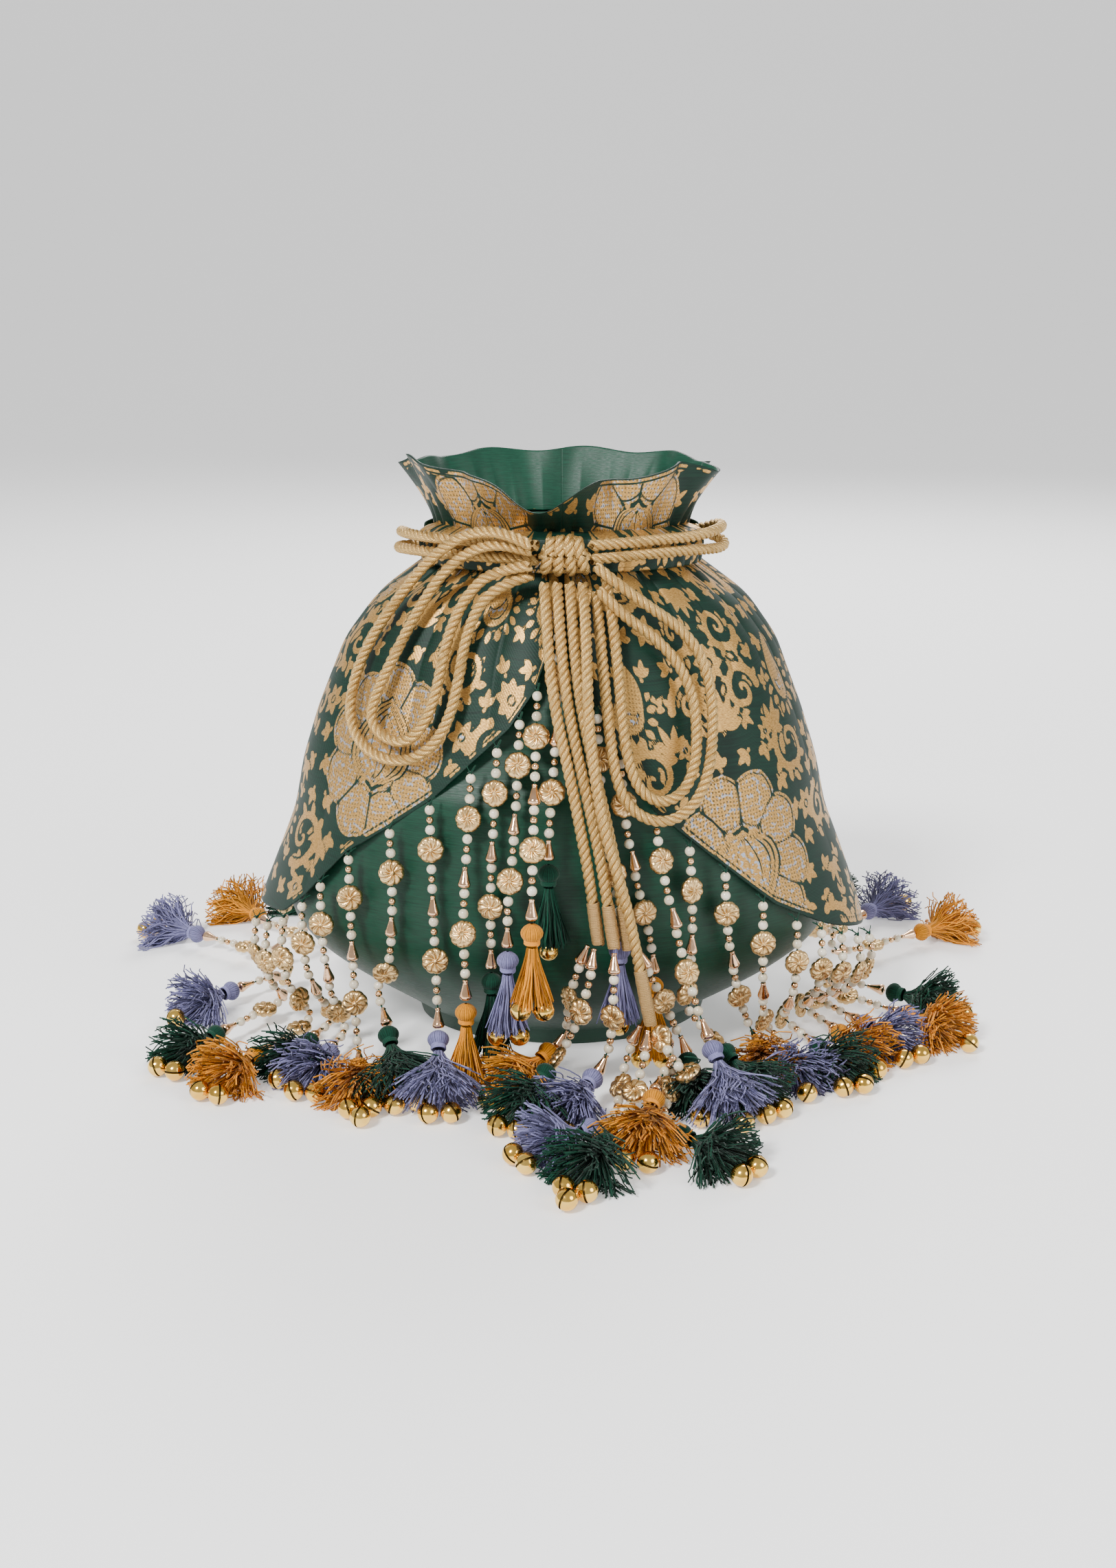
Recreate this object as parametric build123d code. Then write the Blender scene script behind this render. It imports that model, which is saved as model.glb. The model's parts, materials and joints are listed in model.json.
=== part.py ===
from build123d import *
import math
import os

# A drawstring potli bag in millimetres, standing on its flat base.
# Origin: middle of the base's underside. +Z up, front towards -Y, +X to the viewer's right.

# ---------------------------------------------------------------- bag body
# Each section is (height, half width, half depth) of an ellipse.
BODY_SECTIONS = [
    (0, 54, 40), (6, 57, 43), (14, 69, 54), (24, 86, 64), (34, 99, 70.5),
    (45, 106, 74.5), (60, 105.5, 75.5), (84, 99, 74), (103, 95.5, 71),
    (122, 89.5, 66), (148, 79, 58), (164, 67, 49), (176, 46.8, 34.8),
    (184, 46, 34), (192, 46, 34),
]
OVERLAY_SECTIONS = [
    (34, 118.5, 79), (45, 116, 78.5), (60, 110.5, 78), (84, 101.6, 76.2),
    (103, 98, 73.3), (122, 92, 68.4), (148, 81.4, 60.4), (164, 69.4, 51.4),
    (176, 52.6, 40),
]
FRILL_SECTIONS = [(184.5, 46.4, 34.4), (192, 46.4, 34.4), (202, 50, 38), (211, 54.5, 42)]
SILK_THICKNESS = 0.9
LINING_THICKNESS = 0.6
BROCADE_THICKNESS = 0.9
LAYER_GAP = 0.3
BASE_BOARD_THICKNESS = 2.0
LINING_FLOOR = 3.6
NECK_TOP = 192.0

# ---------------------------------------------------------------- overlay hems
# Each petal's hem as (x, z), from the parting at the neck to its side corner.
HEM_LEFT = [(0, 167), (-9, 140), (-18, 127), (-46, 101.5), (-77, 78.5), (-94, 59), (-104, 49.5), (-120, 44)]
HEM_RIGHT = [(0, 167), (9, 140), (21, 117), (33, 98), (54, 80), (77, 60), (98, 47.5), (120, 36.5)]
PETAL_PARTING = 0.4
YOKE_HALF_WIDTH = 22.0
YOKE_BOTTOM = 150.0
FOLD_GAP = 1.2

# ---------------------------------------------------------------- drawstring casing
CASING_BOTTOM, CASING_TOP = 177.0, 190.0
CASING_OUTER = (53.5, 41.5)
CASING_INNER = (47.8, 35.8)
CASING_PLY = 0.8
EXIT_HALF_WIDTH = 10.5
CORD_DIAMETER = 4.0
CHANNEL_CORD = (50.4, 38.4)
CHANNEL_HEIGHTS = {"left": 181.2, "right": 185.8}

# ---------------------------------------------------------------- bead strands
PEARL, GILT, ROSETTE, ROSETTE_DEPTH, DROP = 3.5, 2.6, 9.5, 4.1, 7.4
BEAD_GAP = 0.42
# Rosettes and drops are a little shorter than their places on the thread, so that it can bend.
ROSETTE_PLAY, DROP_PLAY = 0.9, 0.3
BEAD_LENGTHS = {"P": PEARL, "G": GILT, "R": ROSETTE, "T": DROP}
FRINGE_PATTERN = "PGPRPGPTPGPRPGPT"
CORD_END_PATTERN = "TPGPRPGPT"
HEM_TO_BEADS = 3.7
FLOOR_BEAD_HEIGHT = 5.2

# Tassel: (distance along its axis, radius) from the head to the cut ends.
TASSEL_PROFILE = [(0.6, 0), (1.2, 1.6), (3.2, 3.8), (5, 3.6), (6.8, 2.6), (11, 4), (28, 6), (28, 0)]
TASSEL_LENGTH = 28.0
SKIRT_RADIUS = 6.0
BELL_DIAMETER = 7.3
FLOOR_CLEARANCE = 0.3


def section_at(sections, height):
    """Half width and half depth at a height, between the listed sections."""
    for (z0, a0, b0), (z1, a1, b1) in zip(sections, sections[1:]):
        if height <= z1:
            share = max(0.0, (height - z0) / (z1 - z0))
            return a0 + share * (a1 - a0), b0 + share * (b1 - b0)
    return sections[-1][1:]


def lofted(sections, inset=0.0, floor=None):
    """Solid through the elliptical sections, drawn in by inset and started at a raised floor."""
    floor = sections[0][0] if floor is None else floor
    a, b = section_at(sections, floor)
    kept = [(floor, a, b)] + [s for s in sections if s[0] > floor + 1]
    return loft([Plane.XY.offset(z) * Ellipse(a - inset, b - inset) for z, a, b in kept], ruled=True)


def elliptical_prism(half_axes, bottom, top):
    return extrude(Plane.XY.offset(bottom) * Ellipse(*half_axes), top - bottom)


def half_space(side, offset, size=400):
    """Large box on one side of the plane x = offset."""
    return Pos(offset + side * size / 2, 0, 0) * Box(size, size, 2 * size)


# ---------------------------------------------------------------- pouch
def make_pouch_shell():
    return lofted(BODY_SECTIONS) - lofted(BODY_SECTIONS, SILK_THICKNESS, SILK_THICKNESS)


def make_lining():
    inset = SILK_THICKNESS + LAYER_GAP
    outer = lofted(BODY_SECTIONS, inset, LINING_FLOOR)
    cavity = lofted(BODY_SECTIONS, inset + LINING_THICKNESS, LINING_FLOOR + LINING_THICKNESS)
    return outer - cavity


def make_base_board():
    a, b = BODY_SECTIONS[0][1:]
    bottom = SILK_THICKNESS + LAYER_GAP
    return elliptical_prism((a - 3, b - 3), bottom, bottom + BASE_BOARD_THICKNESS)


def make_frill_facing():
    sections = [(z, a - LAYER_GAP, b - LAYER_GAP) for z, a, b in FRILL_SECTIONS[1:]]
    sections[0] = (NECK_TOP + 0.1, *sections[0][1:])
    return lofted(sections) - lofted(sections, LINING_THICKNESS)


def make_frill(side):
    ply = lofted(FRILL_SECTIONS, -BROCADE_THICKNESS) - lofted(FRILL_SECTIONS)
    return ply & half_space(side, side * PETAL_PARTING)


def make_casing(front):
    """Half of the channel round the neck, open at its two sides where the cords come out."""
    ring = elliptical_prism(CASING_OUTER, CASING_BOTTOM, CASING_TOP)
    ring -= elliptical_prism(CASING_INNER, CASING_BOTTOM, CASING_TOP)
    hollow_axes = [r - CASING_PLY for r in CASING_OUTER]
    hollow = elliptical_prism(hollow_axes, CASING_BOTTOM + CASING_PLY, CASING_TOP - CASING_PLY)
    depth = 100
    half = Pos(0, front * (EXIT_HALF_WIDTH + depth / 2), CASING_BOTTOM) * Box(300, depth, 100)
    return (ring - hollow) & half


# ---------------------------------------------------------------- overlay petals
def hem_cutter(hem, side):
    """Everything above the hem line, through the whole depth of the bag."""
    far_x, far_z = hem[-1]
    top = 260
    hem_line = Plane.XZ * Spline(*hem)
    rest = Plane.XZ * Polyline((far_x, far_z), (side * 160, far_z), (side * 160, top), (0, top), (0, hem[0][1]))
    return extrude(make_face([hem_line, rest]), 150, both=True)


def make_petal(side, hem):
    cloth = lofted(OVERLAY_SECTIONS) - lofted(OVERLAY_SECTIONS, BROCADE_THICKNESS)
    return (cloth & half_space(side, side * PETAL_PARTING)) & hem_cutter(hem, side)


def yoke_block(side, grow=0.0):
    """The gathered top of a petal and its strip beside the parting, which stay on the bag."""
    strip = Pos(side * (YOKE_HALF_WIDTH + grow) / 2, 0, 100) * Box(YOKE_HALF_WIDTH + grow, 300, 300)
    top = Pos(side * 100, 0, YOKE_BOTTOM - grow + 50) * Box(200, 300, 100)
    return strip + top


def hem_height(hem, x):
    """Height of the hem at x, from its spline."""
    curve = Spline(*hem)
    low, high = 0.0, 1.0
    for _ in range(24):
        middle = (low + high) / 2
        if abs((curve @ middle).X) < abs(x):
            low = middle
        else:
            high = middle
    return (curve @ low).Y


# ---------------------------------------------------------------- cords
def corner_radii(points):
    """Arc radius at each inner point: 0.45 of the shorter run over the tangent of half the turn."""
    vectors = [Vector(*p) for p in points]
    radii = []
    for before, corner, after in zip(vectors, vectors[1:], vectors[2:]):
        shorter = min((corner - before).length, (after - corner).length)
        turn = math.radians((corner - before).get_angle(after - corner))
        radii.append(0.45 * shorter / math.tan(turn / 2))
    return radii


def cord_tube(name, points):
    """Round tube along straight runs joined by tangent arcs; prints its radii and volume ratio."""
    radii = corner_radii(points)
    path = FilletPolyline(*points, radius=radii)
    profile = Plane(origin=path @ 0, z_dir=path % 0) * Circle(CORD_DIAMETER / 2)
    tube = sweep(profile, path=path)
    ratio = tube.volume / (math.pi * (CORD_DIAMETER / 2) ** 2 * path.length)
    shown = " ".join(f"{r:.0f}" for r in radii)
    print(f"{name}: length {path.length:.0f}, volume ratio {ratio:.3f}, radii {shown}")
    return tube


LEADS = {
    "lead_left_upper": [(-49.6, 8, 181.6), (-53.6, 4.6, 183.4), (-57.6, 0, 186), (-59, -7, 187.2),
                        (-54.5, -18, 187.4), (-45.5, -28.5, 187.4), (-32, -37.5, 187.4), (-19, -44, 187.2),
                        (-8.2, -46.2, 187)],
    "lead_left_lower": [(-49.6, -8.2, 181.2), (-51, -3.2, 181.2), (-54.6, -0.6, 181.2), (-58.6, -2.2, 181.2),
                        (-59.8, -7.4, 181.3), (-57.2, -13.5, 181.6), (-52, -20.5, 181.9), (-43.5, -29.5, 182.2),
                        (-31, -38, 182.4), (-18.5, -44, 182.2), (-8.2, -46, 182)],
    "lead_right_upper": [(49.6, 8, 185.8), (53.6, 4.6, 187.2), (57.6, 0, 189.2), (59, -7, 189),
                         (54.5, -18, 188.4), (46.5, -27.5, 187.6), (33, -37, 187.8), (21, -43.5, 187.4),
                         (10.2, -46.2, 187)],
    "lead_right_lower": [(49.6, -8.2, 185.8), (51, -3.2, 185.7), (54.6, -0.6, 185.2), (58.6, -2.2, 183.8),
                         (59.8, -7.4, 182.5), (57.2, -13.5, 181.8), (52, -20.5, 182.3), (44.5, -29, 183),
                         (32.5, -37.5, 183.2), (20.5, -44, 182.8), (10.2, -46, 182.3)],
}
LOOPS = {
    "bow_loop_left_outer": [
        (-10.6, -54, 188), (-20, -51.5, 192.8), (-33, -43.5, 191.2), (-46, -36, 181.5), (-57, -33, 168),
        (-67, -34.5, 154), (-73.5, -37.5, 140), (-75.5, -42.5, 127), (-71.5, -50, 118.5), (-63, -57, 114),
        (-53, -62, 114.5), (-44.5, -64, 120), (-38.5, -63.5, 130), (-35.5, -60.5, 142), (-33.5, -55.5, 155),
        (-29, -51.5, 167), (-20.5, -50.5, 174.5), (-10.6, -50.6, 177.4)],
    "bow_loop_left_inner": [
        (-10.6, -50.3, 185.3), (-20, -48.3, 188.2), (-31, -43.6, 185.5), (-41.5, -39.5, 177),
        (-50.5, -41, 163.5), (-58, -46, 149.5), (-65, -48, 136), (-67.5, -50, 126.5), (-62, -55, 121),
        (-54, -60.5, 120.5), (-47.5, -61.5, 127), (-43.5, -59.8, 137), (-41, -56.2, 149), (-38, -52, 160.5),
        (-32, -48.5, 171.3), (-23.5, -49.5, 179), (-10.6, -53.5, 181.2)],
    "bow_loop_right_outer": [
        (11.6, -54.5, 181), (20, -56, 174.5), (29.5, -54.5, 167.5), (40, -51.5, 160), (48, -52, 151),
        (51.8, -56, 138.5), (52.2, -61.5, 125), (50.5, -69, 112), (45.5, -74, 102), (37, -77.5, 97),
        (28, -79, 98.5), (21, -79, 105), (17.7, -77, 115), (16, -72, 128), (14.7, -66.5, 141),
        (13.4, -60.5, 154), (12.5, -54.8, 164), (11.9, -51, 171.5)],
    "bow_loop_right_inner": [
        (12.6, -56.5, 173.2), (21, -57.5, 164.5), (31, -55.5, 157.5), (39.5, -56.5, 149), (45, -58.5, 138.5),
        (46.6, -63, 126), (45.6, -70, 114), (41, -74.5, 106), (33.5, -77, 103.5), (26.5, -78, 108),
        (22.6, -76, 117), (20.7, -70.5, 129), (19.6, -64.5, 142), (18.4, -60, 153.5), (17.4, -55.8, 162.5),
        (16.2, -51.6, 170), (15.2, -49.4, 176.5)],
}
TAILS = {
    "tail_short_left": [(-6, -51, 174.3), (-5.4, -59.5, 165.5), (-4.2, -68, 150), (-2, -74, 134),
                        (2.7, -80.4, 114), (6.3, -83.8, 96), (9.1, -85.2, 81), (10.5, -85.4, 71)],
    "tail_short_middle": [(-1.6, -51, 174.3), (-1, -59.5, 165.5), (0.2, -68.2, 150), (2.4, -73.8, 134),
                          (6.8, -79.8, 114), (10.9, -83.6, 96), (14, -86, 81), (15.6, -87.2, 70.5)],
    "tail_short_right": [(2.8, -51, 174.3), (3.4, -59.5, 165.5), (4.6, -68.1, 150), (6.8, -73.4, 134),
                         (11.4, -79, 114), (15.6, -82.4, 96), (19, -84.6, 80), (20.6, -85.2, 69)],
    "tail_long": [(7.2, -51, 174.3), (8, -61, 165.5), (8.4, -72.5, 150), (8.8, -78.6, 134), (11, -84.6, 114),
                  (14.5, -88, 96), (19.5, -90, 80), (23.6, -90.8, 64), (26.6, -91.2, 48.6)],
}
WHIPPING_DIAMETER = 4.5
SHORT_WHIPPING = 15.0
CORD_END_SPREAD = 3.0
LONG_WHIPPING = 20.0


def channel_cord(side, height):
    """Cord round the neck inside the casing, with both ends at one side's opening."""
    a, b = CHANNEL_CORD
    first, last, steps = 13.5, 346.5, 19
    points = []
    for i in range(steps):
        angle = math.radians(first + (last - first) * i / (steps - 1))
        points.append((side * a * math.cos(angle), -side * b * math.sin(angle), height))
    return points


def make_knot():
    """The bow's knot, wider than it is deep, in front of the casing."""
    block = Pos(1, -46.8, 183.8) * Box(17, 8.6, 14)
    return fillet(block.edges(), 3.4)


def whipping(tail_points, length):
    """Wire whipping that closes the last part of a tail, continuing its last run."""
    end, before = Vector(*tail_points[-1]), Vector(*tail_points[-2])
    along = (end - before).normalized()
    solid = extrude(Plane(origin=end, z_dir=along) * Circle(WHIPPING_DIAMETER / 2), length)
    return solid, end + along * length


# ---------------------------------------------------------------- strands
# A fringe strand is (x of its top on the hem, x, y and z of its tassel's head, the heading
# its tassel points to in degrees, bells). Heading 0 is +X and 270 is the front. Where z is
# None the tassel hangs as low as its strand lets it.
STRANDS = {
    "apex_left": [
        (-1.2, -4.5, -81.5, None, 270, 1), (-8.3, -10, -99, None, 265, 2),
        (-14.3, -18.5, -86, None, 270, 2), (-22, -24.5, -77, None, 272, 1)],
    "apex_right": [
        (12, 20, -79.5, None, 271, 1), (20, 32, -73.5, None, 261, 2)],
    "left_front": [
        (-31, -33, -87, None, 275, 1), (-45.5, -43, -83, 24, 274, 2), (-60, -62, -75, 22, 289, 2),
        (-75.5, -72.5, -72, 6.4, 277, 3)],
    "left_corner": [
        (-86.5, -83, -59.5, 6.4, 259, 2), (-94, -91, -50, 6.4, 254, 1), (-102, -108, -63, 6.4, 244, 2),
        (-109, -125.5, -44, 6.4, 241, 2), (-115, -127, -1, 6.4, 231, 1)],
    "left_back": [
        (-14, -14, 80.5, None, 90, 2), (-31, -32.5, 86.5, None, 89, 2), (-48, -50.5, 79.5, 22, 92, 2),
        (-64, -68, 73.5, 12, 102, 2), (-79, -88, 83.5, 6.4, 108, 2), (-91, -108.5, 87.5, 6.4, 114, 2),
        (-101, -130.5, 80, 6.4, 127, 2), (-110, -152, 58, 6.4, 146, 2)],
    "right_front": [
        (32, 50, -93, 24.5, 296, 1), (44, 54.5, -83, 18, 307, 2), (57, 71, -55, 6.4, 272, 1),
        (71, 81, -60, 6.4, 277, 1)],
    "right_corner": [
        (84, 92, -55.5, 6.4, 288, 2), (94, 101.5, -42.5, 6.4, 290, 1),
        (102.5, 111.5, -33.5, 6.4, 299, 2), (110, 128.5, -26, 6.4, 313, 1),
        (116, 127, -3.5, 6.4, 322, 2)],
    "right_back": [
        (14, 14, 81, None, 90, 2), (31, 29.5, 78.5, None, 90, 2), (48, 51, 83.5, 8, 85, 2),
        (64, 72, 106.5, 6.4, 80, 2), (79, 94.5, 112, 6.4, 74, 2), (91, 113, 101, 6.4, 66, 2),
        (101, 133.5, 86, 6.4, 53, 2), (110, 151, 60.5, 6.4, 34, 2)],
}


def bezier_points(p0, p1, p2, p3, count=120):
    """Points along a cubic curve."""
    points = []
    for i in range(count + 1):
        t = i / count
        s = 1 - t
        points.append(p0 * s**3 + p1 * (3 * s * s * t) + p2 * (3 * s * t * t) + p3 * t**3)
    return points


def path_length(points):
    return sum((b - a).length for a, b in zip(points, points[1:]))


def slack_path(top, leave, head, arrive, length):
    """Curve of the given length that leaves the top in one direction and reaches the head in another."""
    low, high = 0.0, 3 * length
    for _ in range(30):
        pull = (low + high) / 2
        first = top + leave * pull
        first = Vector(first.X, first.Y, max(first.Z, FLOOR_BEAD_HEIGHT))
        points = bezier_points(top, first, head - arrive * pull * 0.5, head)
        if path_length(points) < length:
            low = pull
        else:
            high = pull
    return points


def point_at(points, distance):
    """Place and direction at a distance along the points."""
    for a, b in zip(points, points[1:]):
        step = (b - a).length
        if distance <= step:
            return a + (b - a) * (distance / step), (b - a).normalized()
        distance -= step
    direction = (points[-1] - points[-2]).normalized()
    return points[-1] + direction * distance, direction


def bead(kind, place, along, outward):
    """One bead on the thread: a pearl or gilt ball, a flat rosette, or a drop with its wide end down."""
    if kind in "PG":
        return Pos(*place) * Sphere(BEAD_LENGTHS[kind] / 2)
    if kind == "T":
        return Plane(origin=place, z_dir=along) * Cone(0.9, 2.2, DROP - DROP_PLAY)
    face = outward + Vector(0, 0, 0.6)
    face = face - along * face.dot(along)
    return Plane(origin=place, z_dir=face.normalized()) * Cylinder((ROSETTE - ROSETTE_PLAY) / 2, ROSETTE_DEPTH)


def beads_along(points, pattern, outward):
    solids, distance = [], 0.0
    for kind in pattern:
        length = BEAD_LENGTHS[kind]
        place, along = point_at(points, distance + length / 2)
        solids.append(bead(kind, place, along, outward))
        distance += length + BEAD_GAP
    return solids


def make_tassel(head, direction):
    profile = make_face(Plane.XZ * Polyline(*[(r, z) for z, r in TASSEL_PROFILE], close=True))
    return Plane(origin=head, z_dir=direction) * revolve(profile, Axis.Z)


def make_bells(head, direction, count, hanging):
    """One to three bells at the cut ends of a tassel."""
    sideways = direction.cross(Vector(0, 0, 1))
    sideways = sideways.normalized() if sideways.length > 0.3 else Vector(1, 0, 0)
    step = BELL_DIAMETER / 2 + 0.25
    offsets = {1: [(0, 0)], 2: [(-step, 0), (step, 0)], 3: [(-step, 0), (step, 0), (0, 1.8 * step)]}[count]
    radius = BELL_DIAMETER / 2
    bells = []
    for across, beyond in offsets:
        place = head + direction * (TASSEL_LENGTH + radius + 0.4 + beyond) + sideways * across
        if not hanging:
            place = Vector(place.X, place.Y, radius + FLOOR_CLEARANCE)
        bells.append(Pos(*place) * Sphere(radius))
    return bells


def tassel_direction(head, outward):
    """Down where the tassel hangs clear of the floor, otherwise outwards with its skirt on the floor."""
    drop = head.Z - SKIRT_RADIUS - FLOOR_CLEARANCE
    if drop >= TASSEL_LENGTH:
        return Vector(0, 0, -1), True
    down = drop / TASSEL_LENGTH
    level = math.sqrt(1 - down * down)
    return Vector(outward.X * level, outward.Y * level, -down), False


def hem_top(hem, x, back):
    """Where a strand is sewn: just outside the petal's surface at the hem."""
    z = hem_height(hem, x)
    a, b = section_at(OVERLAY_SECTIONS, z)
    a, b = a + HEM_TO_BEADS, b + HEM_TO_BEADS
    y = b * math.sqrt(max(0.0, 1 - (x / a) ** 2))
    return Vector(x, y if back else -y, z - 1.0)


def hanging_head(top, x, y):
    """Tassel place straight below the top, one strand length away."""
    length = pattern_length(FRINGE_PATTERN)
    level = (x - top.X) ** 2 + (y - top.Y) ** 2
    return Vector(x, y, top.Z - math.sqrt((length - 0.6) ** 2 - level))


def pattern_length(pattern):
    return sum(BEAD_LENGTHS[k] + BEAD_GAP for k in pattern)


def heading_vector(degrees):
    return Vector(math.cos(math.radians(degrees)), math.sin(math.radians(degrees)), 0)


def make_strand(top, leave, head, outward, pattern, bells):
    """Beads, tassel and bells of one strand."""
    direction, hanging = tassel_direction(head, outward)
    points = slack_path(top, leave, head, direction, pattern_length(pattern))
    beads = beads_along(points, pattern, outward)
    return beads, [make_tassel(head, direction)], make_bells(head, direction, bells, hanging)


def fringe_strand(top, head_x, head_y, head_z, heading, bells):
    if head_z is None:
        head = hanging_head(top, head_x, head_y)
        outward = Vector(top.X / 1.4, top.Y, 0).normalized()
    else:
        head = Vector(head_x, head_y, head_z)
        outward = heading_vector(heading)
    lean = 0.1 + max(0.0, (top.Z - 75) / 350)
    leave = Vector(0, 0, -1) + outward * lean
    return make_strand(top, leave, head, outward, FRINGE_PATTERN, bells)


def gather(strands):
    """Join strands kind by kind into three groups of separate solids."""
    groups = ([], [], [])
    for strand in strands:
        for group, solids in zip(groups, strand):
            group.extend(solids)
    return groups


# A cord-end strand is (its cord, the way it fans out of the whipping in degrees, the tassel's
# head, heading, bells).
SHORT_ENDS = [
    ("tail_short_left", 185, (-2, -76, 14.5), 228, 2),
    ("tail_short_left", 250, (-3.5, -92, 14), 242, 2),
    ("tail_short_middle", 268, (12.5, -92.5, 12), 242, 2),
    ("tail_short_right", 5, (43.5, -80, 13), 276, 1),
]
LONG_ENDS = [
    ("tail_long", 172, (13, -123, 6.5), 214, 2),
    ("tail_long", 256, (16, -131.5, 6.5), 248, 3),
    ("tail_long", 297, (31.5, -113, 14.5), 255, 2),
    ("tail_long", 349, (36, -127, 6.5), 316, 2),
]


def cord_end_strand(end, fan, head, heading, bells):
    sideways = heading_vector(fan)
    leave = Vector(0, 0, -1) + sideways * 0.5
    return make_strand(end + sideways * CORD_END_SPREAD, leave, Vector(*head), heading_vector(heading),
                       CORD_END_PATTERN, bells)


# ---------------------------------------------------------------- writing the sub-parts
def write(name, shape):
    solids = shape if isinstance(shape, list) else [shape]
    solids = [s for group in solids for s in group.solids()]
    export_step(Compound(solids) if len(solids) > 1 else solids[0], f"parts/{name}.step")


def write_groups(name, groups):
    for kind, solids in zip(("beads", "tassels", "bells"), groups):
        write(f"{name}_{kind}", solids)


def write_bag():
    write("pouch_shell", make_pouch_shell())
    write("pouch_lining", make_lining())
    write("base_board", make_base_board())
    write("frill_facing", make_frill_facing())
    write("drawstring_casing_front", make_casing(-1))
    write("drawstring_casing_back", make_casing(1))
    for side, name, hem in ((-1, "left", HEM_LEFT), (1, "right", HEM_RIGHT)):
        write(f"frill_{name}", make_frill(side))
        petal = make_petal(side, hem)
        write(f"overlay_{name}_yoke", petal & yoke_block(side))
        write(f"overlay_{name}_petal", petal - yoke_block(side, FOLD_GAP))


def write_cords():
    for name, side in (("left", -1), ("right", 1)):
        node = f"channel_cord_{name}"
        write(node, cord_tube(node, channel_cord(side, CHANNEL_HEIGHTS[name])))
    for routes in (LEADS, LOOPS, TAILS):
        for name, points in routes.items():
            write(name, cord_tube(name, points))
    write("bow_knot", make_knot())


def write_cord_ends():
    ends, short = {}, []
    for name in TAILS:
        length = LONG_WHIPPING if name == "tail_long" else SHORT_WHIPPING
        solid, ends[name] = whipping(TAILS[name], length)
        if name == "tail_long":
            write("whipping_long", solid)
        else:
            short.append(solid)
    write("whippings_short", short)
    for group, rows in (("cord_end_short", SHORT_ENDS), ("cord_end_long", LONG_ENDS)):
        strands = [cord_end_strand(ends[row[0]], *row[1:]) for row in rows]
        write_groups(group, gather(strands))


def strand_rows(group):
    """The strands of one group, each sewn to its place on the hem."""
    hem = HEM_LEFT if "left" in group else HEM_RIGHT
    back = group.endswith("back")
    return [fringe_strand(hem_top(hem, row[0], back), *row[1:]) for row in STRANDS[group]]


def write_fringe():
    write_groups("fringe_apex", gather(strand_rows("apex_left") + strand_rows("apex_right")))
    for group in STRANDS:
        if not group.startswith("apex"):
            write_groups(f"fringe_{group}", gather(strand_rows(group)))


os.makedirs("parts", exist_ok=True)
write_bag()
write_cords()
write_cord_ends()
write_fringe()
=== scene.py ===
import json
import math
import bpy
import numpy as np
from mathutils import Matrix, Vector


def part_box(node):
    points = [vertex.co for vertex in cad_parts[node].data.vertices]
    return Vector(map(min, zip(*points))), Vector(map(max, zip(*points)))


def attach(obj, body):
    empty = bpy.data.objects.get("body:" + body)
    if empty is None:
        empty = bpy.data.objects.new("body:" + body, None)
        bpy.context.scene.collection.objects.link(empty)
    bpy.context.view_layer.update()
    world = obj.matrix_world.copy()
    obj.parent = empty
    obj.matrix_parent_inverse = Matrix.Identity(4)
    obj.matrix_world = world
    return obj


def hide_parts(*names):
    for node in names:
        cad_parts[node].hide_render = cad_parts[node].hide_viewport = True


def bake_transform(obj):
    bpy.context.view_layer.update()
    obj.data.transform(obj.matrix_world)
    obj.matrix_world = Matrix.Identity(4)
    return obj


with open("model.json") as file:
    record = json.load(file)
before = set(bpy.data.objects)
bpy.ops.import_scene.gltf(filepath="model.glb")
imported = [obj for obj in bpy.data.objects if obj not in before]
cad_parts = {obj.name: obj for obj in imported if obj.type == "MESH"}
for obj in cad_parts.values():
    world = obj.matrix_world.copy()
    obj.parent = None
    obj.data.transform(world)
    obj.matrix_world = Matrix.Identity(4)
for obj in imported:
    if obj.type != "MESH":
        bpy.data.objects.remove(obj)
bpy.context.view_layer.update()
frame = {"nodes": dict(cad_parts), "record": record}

MM = 0.001
BODIES = frame["record"]["behaviour"]["bodies"]
BODY_OF = {node: body for body, nodes in BODIES.items() for node in nodes}

# ---------------------------------------------------------------- driving dimensions, mm
# The brocade overlay as (height, half width, half depth), and its hems as (x, height).
OVERLAY_SECTIONS = [(30, 119, 79), (34, 118.5, 79), (45, 116, 78.5), (60, 110.5, 78), (84, 101.6, 76.2),
                    (103, 98, 73.3), (122, 92, 68.4), (148, 81.4, 60.4), (164, 69.4, 51.4), (177, 51.4, 39.4)]
HEM_LEFT = [(0, 167), (9, 140), (18, 127), (46, 101.5), (77, 78.5), (94, 59), (104, 49.5), (121, 44)]
HEM_RIGHT = [(0, 167), (9, 140), (21, 117), (33, 98), (54, 80), (77, 60), (98, 47.5), (121, 36.5)]
OVERLAY_TOP = 177.0
HALF_FOLD_GAP = 0.8
CLOTH_THICKNESS = 0.8
CASING_LOW, CASING_HIGH = 176.5, 190.5
CASING_WIDE, CASING_DEEP = 52.6, 40.6
EXIT_HALF_WIDTH = 10.5
FRILL_LOW = 190.0

CORD_DIAMETER = 4.0
PLY_TURN = 8.0
PEARL_RADIUS, GILT_RADIUS, ROSETTE_RADIUS, DROP_LENGTH = 1.75, 1.3, 4.7, 7.2
# Farthest reach from a CAD bead's middle to its surface, for each kind; a rosette reaches farther.
BEAD_REACH = {"gilt": 1.5, "pearl": 2.4, "drop": 4.55}
NEXT_BEAD = 9.6
BELL_RADIUS = 3.62
TASSEL_NECK, TASSEL_LENGTH = 7.0, 28.0
HANGING_THREADS, LYING_THREADS, THREAD_POINTS = 210, 300, 8

# The camera's focal length and the picture's height, both in pixels.
FOCAL_LENGTH, PICTURE_HEIGHT = 2600.0, 2282.0
CAMERA_PLACE, CAMERA_TILT_DOWN = (-0.0013, -0.660, 0.270), 15.3

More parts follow.
